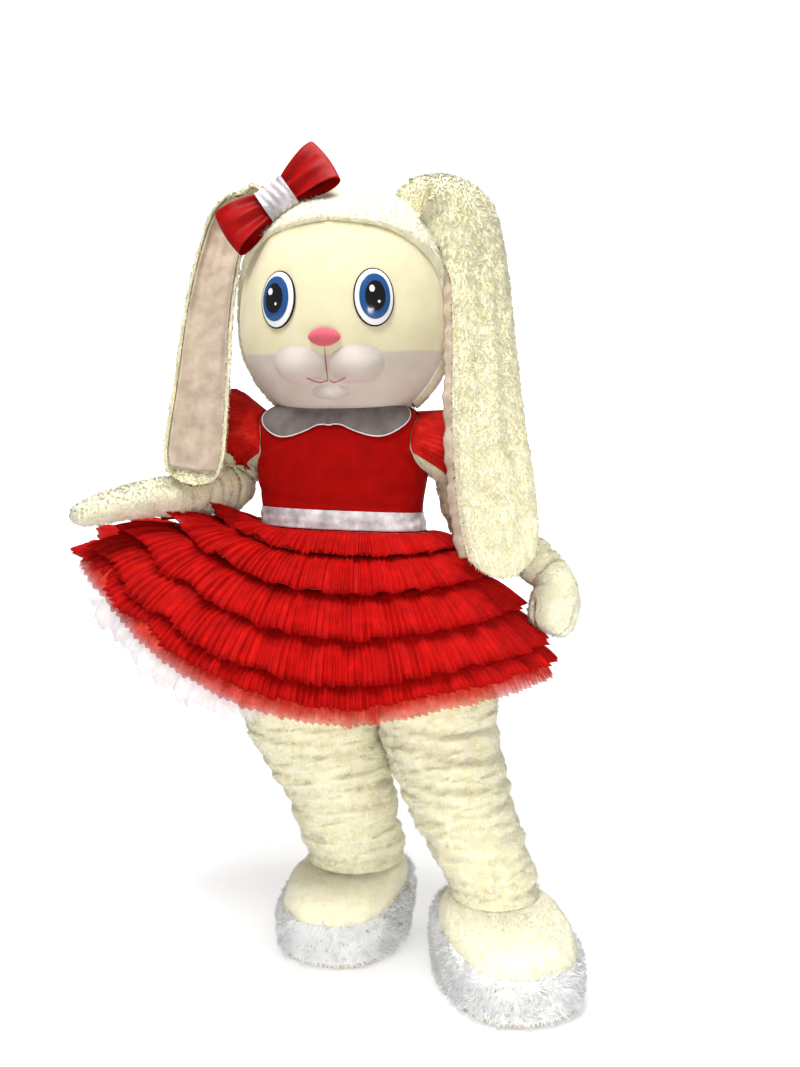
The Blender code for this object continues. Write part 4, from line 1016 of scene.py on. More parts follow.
for side, path, low, high, drape, seed in (
    ("right", RIGHT_EAR, -0.88, 0.88, 0.0, 21),
    ("left", LEFT_EAR, -0.88, 1.30, 1.15, 22),
):
    ear = cloth(
        f"ear_plush_{side}", ear_plush(path, drape), 48, 120, CREAM_PLUSH, node=f"ear_{side}",
    )
    pile(
        f"ear_pile_{side}", [ear], 0.0044, 0.0072, 0.0046, 1.0, CREAM_PLUSH, seed,
    )
    cloth(
        f"ear_satin_{side}", ear_satin(path, low, high), 36, 100, EAR_SATIN, thickness=0.0008,
        inward=True, node=f"ear_lining_{side}",
    )


# Bow
KNOT = np.array(BOW["knot"]) + np.array([0.008, 0.0, 0.001])
LONG = np.array(Vector(BOW["along"]).normalized())
FRONT = np.array(BOW["facing"])
FRONT = unit(FRONT - LONG * FRONT.dot(LONG))
WIDE = np.cross(FRONT, LONG)


def bow_loop(sign):
    def surface(u, v):
        across = 2 * v - 1
        turn = u * math.tau
        reach = (1 - np.cos(turn)) / 2
        swell = 0.024 * np.sin(turn) * (0.35 + 0.65 * np.sin(turn / 2) ** 2)
        half = 0.0375 + (0.066 - 0.0375) * reach**0.8
        # Pleats gathered in the knot open out towards the loop's end
        pleat = 0.0060 * np.cos(across * 6.6 + 0.6 * sign) * (1 - reach) ** 0.5 * ease(reach * 6 + 0.3)
        pleat = pleat + 0.0050 * np.cos(across * 3.1 + 1.1 * sign) * reach * (1 - reach) * 3
        distance = 0.030 + 0.120 * reach - 0.006 * reach * np.abs(across) ** 2
        side = np.where(u < 0.5, 1.0, -1.0)
        place = KNOT + LONG * (sign * distance)[:, None]
        return place + FRONT * (swell + pleat * side)[:, None] + WIDE * (half * across)[:, None]

    return surface


for side, sign in (("right", -1), ("left", 1)):
    cloth(
        f"bow_satin_{side}", bow_loop(sign), 64, 30, RED_SATIN, thickness=0.0012,
        node=f"bow_loop_{side}",
    )


def knot_surface(u, v):
    turn = u * math.tau
    pinch = 1 + 0.12 * (2 * v - 1) ** 2
    wrinkle = 0.0016 * np.cos(v * 26.0 + 1.5 * np.sin(turn * 2)) * ease(np.minimum(v, 1 - v) * 8)
    out = WIDE * ((0.0415 * pinch + wrinkle) * np.cos(turn))[:, None]
    out = out + FRONT * ((0.0255 * pinch + wrinkle) * np.sin(turn))[:, None]
    return KNOT + LONG * ((2 * v - 1) * 0.037)[:, None] + out


cloth("bow_knot_satin", knot_surface, 72, 48, SILVER_SATIN, thickness=0.0015, node="bow_knot")


# Suit body, seen at the neck and up inside the skirt
def body_half(first, last):
    def surface(u, v):
        height = TORSO_BASE + (TORSO_SPAN - 0.002) * v
        low = first + np.where(first % 180 != 0, armhole_turn(height, 0.0), 0.0)
        high = last - np.where(last % 180 != 0, armhole_turn(height, 0.0), 0.0)
        return on_torso(low + (high - low) * u, height, -0.0005)

    return surface


for name, first, last in (("body_front", -90.0, 90.0), ("body_back", 90.0, 270.0)):
    cloth(
        f"suit_{name}", body_half(first, last), 64, 60, CREAM_PLUSH, thickness=PLUSH, node=name
    )


# Arms
ARM_FOLDS = {
    "right": table(
        "height facing reach width depth climb sag",
        (0.08, 90, 120, 0.022, 0.006, 0.02, 0.01),
        (0.16, 60, 110, 0.024, 0.008, -0.03, 0.02),
        (0.25, -60, 120, 0.022, 0.007, 0.03, 0.00),
        (0.33, 100, 130, 0.024, 0.009, 0.02, 0.02),
        (0.42, -20, 120, 0.022, 0.008, -0.04, 0.01),
        (0.50, 160, 130, 0.024, 0.009, 0.03, 0.02),
        (0.58, 40, 140, 0.026, 0.010, 0.02, 0.02),
        (0.67, -90, 130, 0.024, 0.009, -0.03, 0.02),
        (0.75, 80, 130, 0.022, 0.008, 0.03, 0.00),
        (0.84, 170, 120, 0.022, 0.007, 0.02, 0.02),
    ),
    "left": table(
        "height facing reach width depth climb sag",
        (0.07, 20, 120, 0.020, 0.007, 0.02, 0.02),
        (0.15, 120, 120, 0.022, 0.008, -0.03, 0.01),
        (0.24, -40, 130, 0.022, 0.009, 0.03, 0.02),
        (0.33, 70, 120, 0.024, 0.009, -0.02, 0.02),
        (0.43, 170, 130, 0.022, 0.008, 0.03, 0.02),
        (0.52, 0, 130, 0.024, 0.009, 0.02, 0.00),
        (0.61, 90, 120, 0.022, 0.008, -0.03, 0.02),
        (0.70, -80, 130, 0.024, 0.009, 0.03, 0.02),
        (0.79, 30, 130, 0.022, 0.008, 0.02, 0.02),
        (0.88, 140, 120, 0.020, 0.006, -0.02, 0.01),
    ),
}


def sleeve_surface(arm):
    def surface(u, v):
        turn = u * math.tau
        along = arm["cuff"] + v * (1 - arm["cuff"])
        middle, width, thick, row = limb(arm["path"], along, arm["across"])
        crease = folds(ARM_FOLDS[arm["side"]], np.degrees(turn), v)
        crease = crease * ease((1 - v) * 8) * ease(v * 12 + 0.25)
        place = middle + width * np.cos(turn)[:, None] * 0.06 + thick * np.sin(turn)[:, None] * 0.06
        lumps = 0.004 * rough(place, 0.05, 2.0)
        reach = -crease + lumps * ease((1 - v) * 8) * ease(v * 12)
        across = width * ((row["half_width"] + reach) * np.cos(turn))[:, None]
        found = middle + across + thick * ((row["half_thickness"] + reach) * np.sin(turn))[:, None]
        rim = armhole_ring(arm["sign"], turn, 0.004, 0.003)
        share = ease((v - 0.955) / 0.045)[:, None]
        return found * (1 - share) + rim * share

    return surface


def mitt_surface(arm):
    def surface(u, v):
        turn = u * math.tau
        along = (1 - v) * arm["cuff"]
        tip = np.clip((1 - v) / 0.10, 0, 1)
        rounded = np.sqrt(np.clip(1 - (1 - tip) ** 2, 0, 1))
        middle, width, thick, row = limb(arm["path"], np.maximum(along, 0.004), arm["across"])
        fade = ease((0.60 - (1 - v)) / 0.28)
        side = np.cos(turn)
        groove = np.maximum(np.maximum(1 - np.abs(np.abs(side) - 0.5) / 0.15, 1 - np.abs(side) / 0.15), 0.0)
        tapered = np.where(along < 0.04, rounded, 1.0)
        half_width = row["half_width"] * tapered
        half_thick = row["half_thickness"] * (1 - 0.42 * fade * ease(groove)) * tapered
        place = middle + width * side[:, None] * 0.05 + thick * np.sin(turn)[:, None] * 0.05
        lumps = 0.0025 * rough(place, 0.045, 6.0)
        across = width * ((half_width + lumps * rounded) * side)[:, None]
        return middle + across + thick * ((half_thick + lumps * rounded) * np.sin(turn))[:, None]

    return surface


for arm in ARMS:
    side = arm["side"]
    seed = 31 if side == "right" else 34
    sleeve = cloth(
        f"sleeve_plush_{side}", sleeve_surface(arm), 72, 110, CREAM_PLUSH, thickness=PLUSH,
        node=f"sleeve_{side}",
    )
    # The mitts wear the lighter copy of the cream plush: painted light
    mitt = cloth(
        f"mitt_plush_{side}", mitt_surface(arm), 80, 64, PAINTED_LIGHT_PLUSH, thickness=PLUSH,
        node=f"mitt_{side}",
    )
    pile(
        f"sleeve_pile_{side}", [sleeve], 0.0043, 0.0078, 0.0046, 1.0, CREAM_PLUSH, seed,
        swirl=0.9,
    )
    pile(
        f"mitt_pile_{side}", [mitt], 0.0042, 0.0070, 0.0044, 1.0, PAINTED_LIGHT_PLUSH, seed + 1,
        swirl=0.8,
    )


# Legs: the long-pile plush hangs in crosswise wrinkles that droop between their ends
LEG_FOLDS = {
    "right": table(
        "height facing reach width depth climb sag",
        (0.215, 0, 150, 0.014, 0.014, 0.000, 0.010),
        (0.243, -40, 110, 0.011, 0.009, 0.012, 0.016),
        (0.268, 50, 100, 0.012, 0.010, -0.010, 0.018),
        (0.295, -10, 130, 0.013, 0.012, 0.014, 0.012),
        (0.322, 60, 90, 0.011, 0.008, 0.010, 0.016),
        (0.350, -50, 100, 0.012, 0.010, -0.016, 0.014),
        (0.378, 20, 120, 0.013, 0.012, 0.018, 0.016),
        (0.410, -30, 90, 0.011, 0.009, 0.014, 0.020),
        (0.436, 50, 100, 0.012, 0.010, -0.014, 0.014),
        (0.466, 0, 120, 0.014, 0.011, 0.020, 0.014),
        (0.498, -55, 90, 0.012, 0.009, -0.012, 0.018),
        (0.528, 35, 110, 0.013, 0.011, 0.016, 0.020),
        (0.560, -15, 100, 0.013, 0.010, -0.018, 0.022),
        (0.595, 30, 110, 0.014, 0.010, 0.016, 0.020),
        (0.235, 180, 110, 0.012, 0.011, 0.012, 0.014),
        (0.290, 165, 100, 0.013, 0.011, -0.012, 0.016),
        (0.345, 195, 100, 0.012, 0.010, 0.014, 0.016),
        (0.400, 175, 110, 0.013, 0.011, -0.012, 0.018),
        (0.460, 190, 100, 0.013, 0.010, 0.014, 0.018),
        (0.520, 170, 100, 0.013, 0.010, -0.012, 0.020),
        (0.580, 185, 100, 0.014, 0.009, 0.012, 0.020),
    ),
    "left": table(
        "height facing reach width depth climb sag",
        (0.214, 10, 150, 0.014, 0.014, 0.000, 0.012),
        (0.242, -30, 110, 0.011, 0.009, -0.012, 0.016),
        (0.270, 40, 100, 0.012, 0.011, -0.016, 0.016),
        (0.298, 0, 120, 0.013, 0.011, -0.018, 0.014),
        (0.327, -50, 90, 0.011, 0.009, 0.012, 0.018),
        (0.352, 30, 110, 0.012, 0.011, -0.020, 0.016),
        (0.382, -10, 120, 0.013, 0.012, -0.018, 0.018),
        (0.412, 50, 90, 0.012, 0.009, 0.014, 0.016),
        (0.440, -40, 100, 0.012, 0.010, -0.022, 0.018),
        (0.468, 20, 110, 0.013, 0.011, -0.020, 0.018),
        (0.500, -10, 100, 0.012, 0.010, -0.024, 0.020),
        (0.532, 45, 90, 0.012, 0.010, -0.016, 0.022),
        (0.562, 0, 110, 0.013, 0.011, -0.022, 0.022),
        (0.598, 25, 100, 0.014, 0.010, -0.018, 0.022),
        (0.232, 190, 110, 0.012, 0.011, 0.012, 0.014),
        (0.286, 170, 100, 0.013, 0.011, -0.012, 0.016),
        (0.340, 195, 100, 0.012, 0.010, 0.014, 0.016),
        (0.396, 180, 110, 0.013, 0.011, -0.012, 0.018),
        (0.456, 165, 100, 0.013, 0.010, 0.014, 0.018),
        (0.516, 190, 100, 0.013, 0.010, -0.012, 0.020),
        (0.576, 175, 100, 0.014, 0.009, 0.012, 0.020),
    ),
}


WRINKLE_SLANT = {"right": 0.18, "left": 0.30}
LEG_HEM = 0.190
LEG_TOP = 0.802
CROTCH_HEIGHT = 0.66
HIP_HEIGHT = 0.8025


def leg_surface(side, sign, path):
    def surface(u, v):
        height = LEG_HEM + v * (LEG_TOP - LEG_HEM)
        row = read(path, height)
        angle = turned(u * 360)
        crease = 1.15 * folds(LEG_FOLDS[side], angle, height) * ease((0.66 - height) / 0.05 + 0.4)
        body = ring(angle, 0.13, 0.13) + points(row["x"], row["y"], height)
        # Finer wrinkles follow the folds' slant: about 16 mm apart up the leg and 90 mm long
        slant = body.copy()
        slant[:, 2] -= WRINKLE_SLANT[side] * ring(angle, 0.13, 0.13)[:, 0]
        lines = rough(slant * np.array([0.2, 0.2, 1.15]), 0.020, 12.0 + sign)
        fine = np.exp(-((lines / 0.10) ** 2)) * (0.7 + 0.6 * rough(body, 0.05, 30.0))
        lumps = 0.006 * rough(body, 0.07, 3.0 + sign) - 0.0062 * fine + 0.003 * lines + 0.0012
        give = lumps * ease((0.70 - height) / 0.06) * ease((height - LEG_HEM) / 0.02) - crease
        leg = ring(angle, row["half_width"] + give, row["half_depth"] + give)
        leg = leg + points(row["x"], row["y"], 0.0)
        outer = ring(angle, HIP_HALF_WIDTH, HIP_HALF_DEPTH, TORSO_POWER)
        inner_side = sign * np.sin(np.radians(angle)) <= 0.0
        outer[..., 0] = np.where(inner_side, 0.0, outer[..., 0])
        hip = outer + points(HIP_MIDDLE + sign * 0.0003, 0.0, 0.0)
        share = ease((height - CROTCH_HEIGHT) / (HIP_HEIGHT - CROTCH_HEIGHT))[:, None]
        found = leg * (1 - share) + hip * share
        found[..., 2] = height
        return found

    return surface


for side, sign, path in (("right", -1, RIGHT_LEG), ("left", 1, LEFT_LEG)):
    leg = cloth(
        f"leg_plush_{side}", leg_surface(side, sign, path), 104, 210, CREAM_PLUSH,
        thickness=PLUSH, node=f"leg_{side}",
    )
    low_down = 0.700 - SHOULDER_HEIGHT
    pile(
        f"leg_pile_{side}", [leg], 0.0043, 0.0080, 0.0047, 1.0, CREAM_PLUSH, 41 + sign,
        swirl=0.9, keep=lambda places, normals: places[:, 2] < low_down,
    )


# Shoes: a stuffed plush dome with long white fur round its lower edge
def shoe_outline(shoe, around, grow=0.0):
    turn = np.asarray(around) * math.tau
    heading = math.radians(shoe["toe_angle"])
    toe = np.array([math.sin(heading), -math.cos(heading), 0.0])
    side = np.array([math.cos(heading), math.sin(heading), 0.0])
    along = (shoe["length"] / 2 + grow) * power(np.cos(turn), 0.85)
    across = (shoe["width"] / 2 + grow) * power(np.sin(turn), 0.85) * (1 + 0.08 * np.cos(turn))
    return np.array([shoe["x"], shoe["y"], 0.0]) + toe * along[..., None] + side * across[..., None]


def shoe_shape(shoe):
    leg = RIGHT_LEG[0] if shoe["side"] == "right" else LEFT_LEG[0]

    def shape(around, along):
        around, along = np.broadcast_arrays(np.asarray(around, float), np.asarray(along, float))
        low = shoe_outline(shoe, around)
        angle = around * 360 + shoe["toe_angle"]
        top = ring(angle, leg["half_width"], leg["half_depth"]) + points(leg["x"], leg["y"], leg["height"])
        rise = np.sin(np.clip(along, 0, 1) * math.pi / 2) ** 0.85
        lean = ((1 - np.cos(along * math.pi / 2)) ** 1.35)[..., None]
        bulge = 0.014 * np.sin(along * math.pi)
        out = unit(low - np.array([shoe["x"], shoe["y"], 0.0]))
        found = low * (1 - lean) + top * lean + out * bulge[..., None]
        found[..., 2] = SOLE + (leg["height"] - SOLE) * rise
        return found

    return shape


def fur_top(around):
    return read(SHOE_FUR_TOP, np.abs(turned(np.asarray(around) * 360)))["along"]


def shoe_upper(shoe):
    shape = shoe_shape(shoe)

    def surface(u, v):
        at = fur_top(u)
        at = at + v * (1 - at)
        lumps = 0.003 * rough(shape(u, at), 0.06, 5.0) * ease((1 - v) * 5)
        return shape(u, at) + outward(shape, u, at) * lumps[:, None]

    return surface


def shoe_trim(shoe):
    shape = shoe_shape(shoe)

    def surface(u, v):
        at = v * fur_top(u)
        out = outward(shape, u, at)
        flat = out * np.array([1.0, 1.0, 0.0])
        out = np.where((v < 0.02)[:, None], unit(flat), out)
        thick = 0.0085 * ease((1 - v) * 3 + 0.15)
        thick = thick + 0.0060 * np.sin(v * math.pi) * rough(shape(u, at), 0.04, 3.0)
        return shape(u, at) + out * thick[:, None]

    return surface


for shoe in SHOES:
    side = shoe["side"]
    heart = np.array([shoe["x"], shoe["y"], -SHOULDER_HEIGHT])

    def comb_out(places, normals, heart=heart):
        away = (places - heart) * np.array([1.0, 1.0, 0.0])
        return unit(away) * 0.8 + np.array([0.0, 0.0, -0.75])

    # The shoe uppers wear the lighter copy of the cream plush: painted light
    upper = cloth(
        f"shoe_plush_{side}", shoe_upper(shoe), 96, 48, PAINTED_LIGHT_PLUSH, thickness=PLUSH,
        node=f"shoe_upper_{side}",
    )
    pile(
        f"shoe_pile_{side}", [upper], 0.0044, 0.0058, 0.0042, 1.1, PAINTED_LIGHT_PLUSH, 51,
        comb=comb_out,
    )
    # The backing, with no tufts' height, takes the fur's dark root colour: painted shade between the strands
    trim = cloth(
        f"shoe_fur_backing_{side}", shoe_trim(shoe), 96, 28, WHITE_FUR, thickness=0.004,
        node=f"shoe_trim_{side}",
    )
    sole_top = SOLE - SHOULDER_HEIGHT
    pile(
        f"shoe_fur_{side}", [trim], 0.0038, 0.0210, 0.0040, 0.95, WHITE_FUR, 55, comb=comb_out,
        swirl=2.2, keep=lambda places, normals: places[:, 2] > sole_top + 0.004, relief=0.7,
    )

    bm = bmesh.new()
    for k in range(64):
        spot = shoe_outline(shoe, np.array([k / 64]), 0.006)[0]
        bm.verts.new((spot[0], spot[1], -SHOULDER_HEIGHT))
    base = bm.faces.new(list(bm.verts))
    grown = bmesh.ops.extrude_face_region(bm, geom=[base])
    raised = [item for item in grown["geom"] if isinstance(item, bmesh.types.BMVert)]
    bmesh.ops.translate(bm, vec=(0, 0, SOLE), verts=raised)
    rim = [edge for edge in bm.edges if len(edge.link_faces) == 2 and edge.calc_face_angle(0) > 1.0]
    bmesh.ops.bevel(bm, geom=rim, offset=0.003, segments=3, profile=0.5, affect="EDGES", material=-1)
    bmesh.ops.recalc_face_normals(bm, faces=bm.faces)
    sole = finish_piece(bm, f"sole_crepe_{side}", SOLE_RUBBER, smooth=False)
    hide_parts(f"sole_{side}")


# Dress
BODICE_FOLDS = table(
    "height facing reach width depth climb sag",
    (1.105, -20, 60, 0.010, 0.0030, 0.012, 0.004),
    (1.125, 25, 55, 0.010, 0.0028, -0.014, 0.004),
    (1.155, -60, 40, 0.012, 0.0032, -0.020, 0.006),
    (1.165, 62, 40, 0.012, 0.0032, 0.022, 0.006),
    (1.215, -66, 34, 0.012, 0.0036, 0.026, 0.004),
    (1.228, 64, 34, 0.012, 0.0036, -0.026, 0.004),
    (1.262, -50, 26, 0.010, 0.0028, 0.020, 0.004),
    (1.270, 50, 26, 0.010, 0.0028, -0.020, 0.004),
    (1.190, 10, 40, 0.014, 0.0016, 0.008, 0.006),
    (1.115, 150, 60, 0.010, 0.0030, 0.012, 0.004),
    (1.150, 200, 60, 0.012, 0.0028, -0.014, 0.004),
    (1.200, 240, 40, 0.012, 0.0032, 0.020, 0.004),
    (1.220, 120, 40, 0.012, 0.0032, -0.020, 0.004),
)


BODICE_TOP = 1.382


def bodice_panel(first, last):
    def surface(u, v):
        angle = first + (last - first) * u
        low = waist(angle, 0.001)
        height = low + v * (BODICE_TOP - low)
        # The angle and the height hang on each other, and settle in two rounds
        for _ in range(2):
            left = first + np.where(first % 180 != 0, armhole_turn(height, 0.010), 0.0)
            right = last - np.where(last % 180 != 0, armhole_turn(height, 0.010), 0.0)
            angle = left + (right - left) * u
            low = waist(angle, 0.001)
            height = low + v * (BODICE_TOP - low)
        drag = folds(BODICE_FOLDS, angle, height)
        drag = drag + 0.0012 * rough(ring(angle, 0.2, 0.15) + points(0, 0, height), 0.05, 7.0)
        # Small gathers where the waistband takes the bodice in
        wave = np.radians(angle * 34) + 2 * np.sin(np.radians(angle * 5))
        gather = 0.0016 * np.cos(wave) * ease(1 - v / 0.22)
        lift = 0.0052 - np.clip(drag, -0.002, 0.0034) * ease((1 - v) * 8) + gather
        return on_torso(angle, height, lift)

    return surface


for name, first, last in (
    ("bodice_front", -90.0, 90.0),
    ("bodice_back_left", 90.0, 180.0),
    ("bodice_back_right", 180.0, 270.0),
):
    cloth(
        f"{name}_cotton", bodice_panel(first, last), 96, 80, RED_COTTON, thickness=0.0011,
        node=name,
    )


def belt_surface(u, v):
    angle = u * 360
    wrinkle = 0.0014 * np.sin(v * 9.0 + 2.5 * np.sin(np.radians(angle * 3)))
    wrinkle = wrinkle + 0.0010 * np.cos(np.radians(angle * 23))
    crown = np.sin(v * math.pi)
    lift = 0.0072 + 0.0022 * crown + wrinkle * crown
    return on_torso(angle, waist(angle, 0.0040 + v * BELT_WIDTH), lift)


cloth("belt_satin", belt_surface, 260, 14, SILVER_SATIN, thickness=0.0011, node="belt")

COLLAR_TOP = 1.402


def collar_surface(side):
    def surface(u, v):
        angle = -0.8 + 180.1 * u
        edge = read(COLLAR_EDGE, angle)["height"] - 0.016 * np.exp(-((angle / 5.0) ** 2))
        height = COLLAR_TOP + (edge - COLLAR_TOP) * v
        ripple = 0.0010 * np.cos(np.radians(angle * 9)) * v
        lift = 0.0112 + 0.0006 * (side + 1) + ripple + 0.0012 * np.sin(v * math.pi)
        return on_torso(side * angle, height, lift)

    return surface


def piping_surface(side):
    collar = collar_surface(side)

    def surface(u, v):
        edge = collar(u, np.ones_like(u))
        inner = collar(u, np.full_like(u, 0.97))
        out = unit(edge - inner)
        up = unit(edge - np.array([0.0, 0.0, 1.25])) * np.array([1.0, 1.0, 0.0])
        turn = v * math.tau
        return edge + out * (0.0016 * np.cos(turn))[:, None] + up * (0.0016 * np.sin(turn))[:, None]

    return surface


for side, sign in (("left", 1), ("right", -1)):
    # The collar's cotton carries painted shade, for the head's shadow on it
    cloth(
        f"collar_cotton_{side}", collar_surface(sign), 110, 20, COLLAR_COTTON,
        thickness=0.0011, node=f"collar_{side}",
    )
    cloth(f"collar_piping_{side}", piping_surface(sign), 140, 8, PIPING_COTTON)


def cap_surface(arm, drop, out, phase):
    """A gathered cap of tulle. Its crown puffs up over the armhole and its hem is ruffled."""

    def surface(u, v):
        span = 112.0
        turn = np.radians(arm["sign"] * (90 + (u - 0.5) * 2 * span))
        root = armhole_ring(arm["sign"], turn, 0.009, 0.0066)
        middle, width, thick, row = limb(arm["path"], 0.972 - 0.062 * v * drop, arm["across"])
        edge = 1 - np.abs(u - 0.5) * 2
        flare = 0.013 + out + 0.028 * ease(edge * 2.4) * (1 - 0.25 * v)
        broad = 0.0085 * v * np.cos(u * 18 * math.pi + 1.3 * np.sin(u * 9))
        fine = (0.0045 * v**0.6) * np.cos(u * 74 * math.pi + phase + 1.6 * np.sin(u * 21))
        reach = row["half_width"] + flare + broad + fine
        hem = middle + (width * np.cos(turn)[:, None] + thick * np.sin(turn)[:, None]) * reach[:, None]
        share = ease(v * 3.2)[:, None]
        found = root * (1 - share) + hem * share
        crown = np.clip(arm["sign"] * np.sin(turn), 0.0, 1.0)
        found[:, 2] += 0.024 * crown * ease(v * 2.4)
        return found

    return surface


for arm in ARMS:
    side = arm["side"]
    cloth(
        f"cap_sleeve_tulle_{side}", cap_surface(arm, 1.0, 0.0, 0.0), 220, 16, CAP_TULLE,
        thickness=NET, node=f"flutter_sleeve_{side}",
    )
    cloth(
        f"cap_sleeve_frill_{side}", cap_surface(arm, 0.62, 0.010, 2.0), 220, 12, CAP_TULLE,
        thickness=NET,
    )


# Skirt: each tier is pleated finer here than in the solids, over the same broad waves
TIERS = table(
    "name top hem waves seat flare wave fine ragged",
    ("ruffle_1", 0.002, 0.21, 20, 0.0020, 0.016, 0.0050, 104, 0.010),
    ("ruffle_2", 0.170, 0.45, 27, -0.0031, 0.028, 0.0075, 146, 0.013),
    ("ruffle_3", 0.400, 0.67, 31, -0.0073, 0.032, 0.0080, 172, 0.014),
    ("ruffle_4", 0.620, 0.86, 34, -0.0071, 0.032, 0.0080, 190, 0.014),
    ("ruffle_5", 0.820, 0.942, 30, -0.0082, 0.020, 0.0040, 200, 0.010),
)
# A knife pleat rises over this share of its width and falls over the rest
PLEAT_RISE = 0.70
UNDERSKIRT_PLEATS = 170
PETTICOAT_PLEATS = 150


def raised(angle):
    """How far an angle lies in the side of the skirt that is held up, from 0 to 1."""
    return ease(1 - np.abs(turned(angle + 78.0)) / 62.0)


def knife_pleats(turns, total):
    """Pressed pleats as a height from -1 to 1, and a chance from 0 to 1 that is the same all over a pleat."""
    count = np.floor(turns)
    step = turns - count
    count = np.mod(count, total)
    height = np.where(step < PLEAT_RISE, step / PLEAT_RISE, (1 - step) / (1 - PLEAT_RISE)) * 2 - 1
    chance = np.modf(np.abs(np.sin(count * 12.99) * 4375.8))[0]
    return height, chance


def tier_surface(tier, seed):
    def surface(u, v):
        angle = u * 360 - 180
        a = np.radians(angle)
        lift_up = raised(angle)
        circle = points(np.sin(a), np.cos(a), 0.0)
        uneven = rough(circle, 0.16, seed)
        quick = rough(circle, 0.045, seed + 5.0)
        wander = 0.35 * uneven + 0.18 * quick + 0.10 * v * rough(circle, 0.02, seed + 9.0)
        wander = np.where((u > 0) & (u < 1), wander * np.sin(u * math.pi), 0.0)
        pleat, chance = knife_pleats(u * tier["fine"] + wander, tier["fine"])
        share = tier["top"] + v * (tier["hem"] - tier["top"])
        share = share + v * v * (tier["ragged"] * uneven + 0.010 * quick) * (1 + 0.9 * lift_up)
        share = share + v**3 * (0.007 * pleat + 0.012 * (chance - 0.5))
        share = share + v * v * lift_up * 0.028 * np.sin(a * 17 + seed)
        broad = np.cos(a * tier["waves"]) * tier["wave"] * (1 + 0.6 * uneven)
        bunched = 0.010 * np.sin(a * 23 + 3 * uneven + seed) + 0.016 * np.sin(a * 13 + seed * 1.7)
        broad = broad + lift_up * bunched
        fold = pleat * (0.0030 + 0.0056 * v) * (0.6 + 0.8 * chance)
        lift = tier["seat"] + 0.0006 + v * (tier["flare"] + broad) + fold * ease(v * 5 + 0.15)
        lift = lift + v * 0.009 * quick + v**1.5 * 0.012 * uneven * (0.4 + 1.6 * lift_up)
        lift = lift + 0.004 * np.sin(v * math.pi)
        return skirt(angle, share) + skirt_out(angle, share) * lift[:, None]

    return surface


for count, tier in enumerate(TIERS):
    cloth(
        f"{tier['name']}_tulle", tier_surface(tier, 3.0 + 7.0 * count), tier["fine"] * 7, 9, RED_TULLE,
        thickness=NET, node=tier["name"],
    )


def underskirt_surface(u, v):
    angle = u * 360 - 180
    a = np.radians(angle)
    circle = points(np.sin(a), np.cos(a), 0.0)
    uneven = rough(circle, 0.09, 21.0)
    step, chance = knife_pleats(u * UNDERSKIRT_PLEATS, UNDERSKIRT_PLEATS)
    share = v + 0.004 * uneven * v + v**8 * (0.006 * step + 0.012 * (chance - 0.5))
    pleat = step * 0.0034 * ease((v - 0.4) * 2)
    lift = -0.008 * ease(v * 3) + pleat + 0.004 * uneven * v
    return skirt(angle, share) + skirt_out(angle, share) * lift[:, None]


cloth(
    "underskirt_tulle", underskirt_surface, 1020, 20, SHEER_TULLE, thickness=NET,
    node="underskirt",
)


def petticoat_surface(u, v):
    angle = u * 360 - 180
    a = np.radians(angle)
    circle = points(np.sin(a), np.cos(a), 0.0)
    uneven = rough(circle, 0.07, 33.0)
    drop = read(SKIRT_ROUND, angle)["petticoat_drop"] / 0.45
    step, chance = knife_pleats(u * PETTICOAT_PLEATS, PETTICOAT_PLEATS)
    share = v * (1 + drop + (0.012 * uneven + 0.004 * np.cos(a * 47)) * v)
    share = share + v**8 * (0.010 * step + 0.030 * (chance - 0.6))
    frill = np.cos(a * 64 + 2.0 * uneven) * 0.0060 * ease((v - 0.72) / 0.25)
    frill = frill + np.cos(a * 23 + uneven) * 0.0050 * ease((v - 0.6) / 0.3)
    lift = -0.0019 - 0.0228 * ease(v * 3) + frill
    return skirt(angle, share) + skirt_out(angle, share) * lift[:, None]


cloth("petticoat_net", petticoat_surface, 900, 22, WHITE_NET, thickness=NET, node="petticoat")


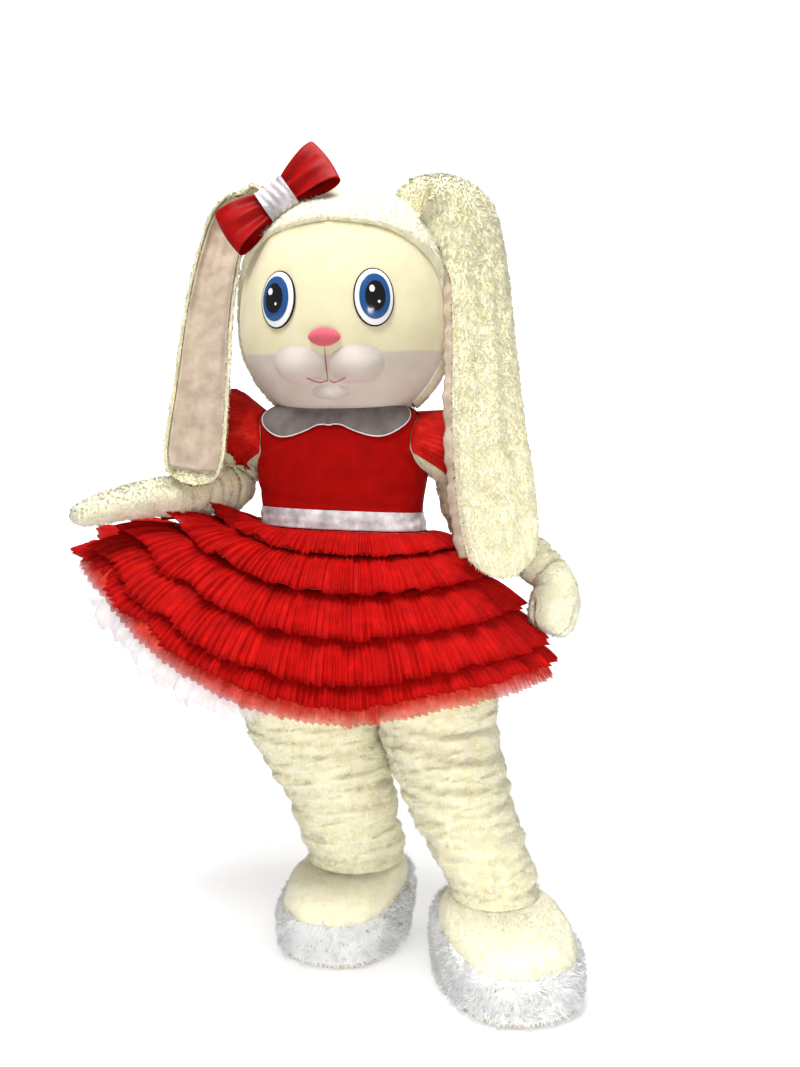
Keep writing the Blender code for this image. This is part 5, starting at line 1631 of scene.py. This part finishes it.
# Stage, lights and camera
def backdrop_sheet(name, look, size, place, tilt, colour, roughness, glow):
    """A flat sheet of the backdrop. It glows a little, so that it stays white."""
    bm = bmesh.new()
    bmesh.ops.create_grid(bm, x_segments=1, y_segments=1, size=size)
    bmesh.ops.rotate(bm, cent=(0, 0, 0), matrix=Matrix.Rotation(math.radians(tilt), 3, "X"), verts=bm.verts)
    bmesh.ops.translate(bm, vec=place, verts=bm.verts)
    material, _, shader = new_material(look)
    shader.inputs["Base Color"].default_value = linear(colour)
    shader.inputs["Roughness"].default_value = roughness
    shader.inputs["Emission Color"].default_value = linear("FFFFFF")
    shader.inputs["Emission Strength"].default_value = glow
    mesh = bpy.data.meshes.new(name)
    bm.to_mesh(mesh)
    bm.free()
    mesh.materials.append(material)
    sheet = bpy.data.objects.new(name, mesh)
    bpy.context.scene.collection.objects.link(sheet)


backdrop_sheet("floor", "backdrop_paper", 14.0, (0, 0, -SHOULDER_HEIGHT - 0.0005), 0, "F2F2F2", 0.9, 0.22)
backdrop_sheet("backdrop", "backdrop_lit", 12.0, (0, 7.0, 8.0), 90, "FFFFFF", 0.5, 1.0)

world = bpy.data.worlds.new("studio")
bpy.context.scene.world = world
world.use_nodes = True
world.node_tree.nodes["Background"].inputs["Color"].default_value = linear("FFFFFF")
world.node_tree.nodes["Background"].inputs["Strength"].default_value = 0.20


def softbox(name, place, aim, size, watts, spread=180):
    light = bpy.data.lights.new(name, "AREA")
    light.spread = math.radians(spread)
    light.shape = "SQUARE"
    light.size = size
    light.energy = watts
    lamp = bpy.data.objects.new(name, light)
    lamp.location = place
    lamp.rotation_euler = (Vector(aim) - Vector(place)).to_track_quat("-Z", "Y").to_euler()
    bpy.context.scene.collection.objects.link(lamp)


softbox("key", (-0.7, -2.9, 3.7), (0, 0, -0.4), 1.4, 146)
softbox("fill", (1.5, -4.3, -0.4), (0.52, 0, -1.00), 1.2, 6.5, 42)
softbox("low", (-1.3, -4.2, -0.3), (-0.03, 0.0, -1.36), 0.8, 0.5, 15)
softbox("top", (0.3, -0.5, 2.6), (0, 0, -0.3), 1.6, 74)

lens = bpy.data.cameras.new("photo_view")
lens.lens = 35.02
lens.sensor_width = 36.0
camera = bpy.data.objects.new("photo_view", lens)
camera.location = (0.5435, -2.526, -0.175)
swing, dip = math.radians(9.0), math.radians(3.2)
look = Vector((-math.sin(swing) * math.cos(dip), math.cos(swing) * math.cos(dip), -math.sin(dip)))
camera.rotation_euler = look.to_track_quat("-Z", "Y").to_euler()
bpy.context.scene.collection.objects.link(camera)
bpy.context.scene.camera = camera
bpy.context.scene.view_settings.view_transform = "Standard"

bpy.context.view_layer.update()
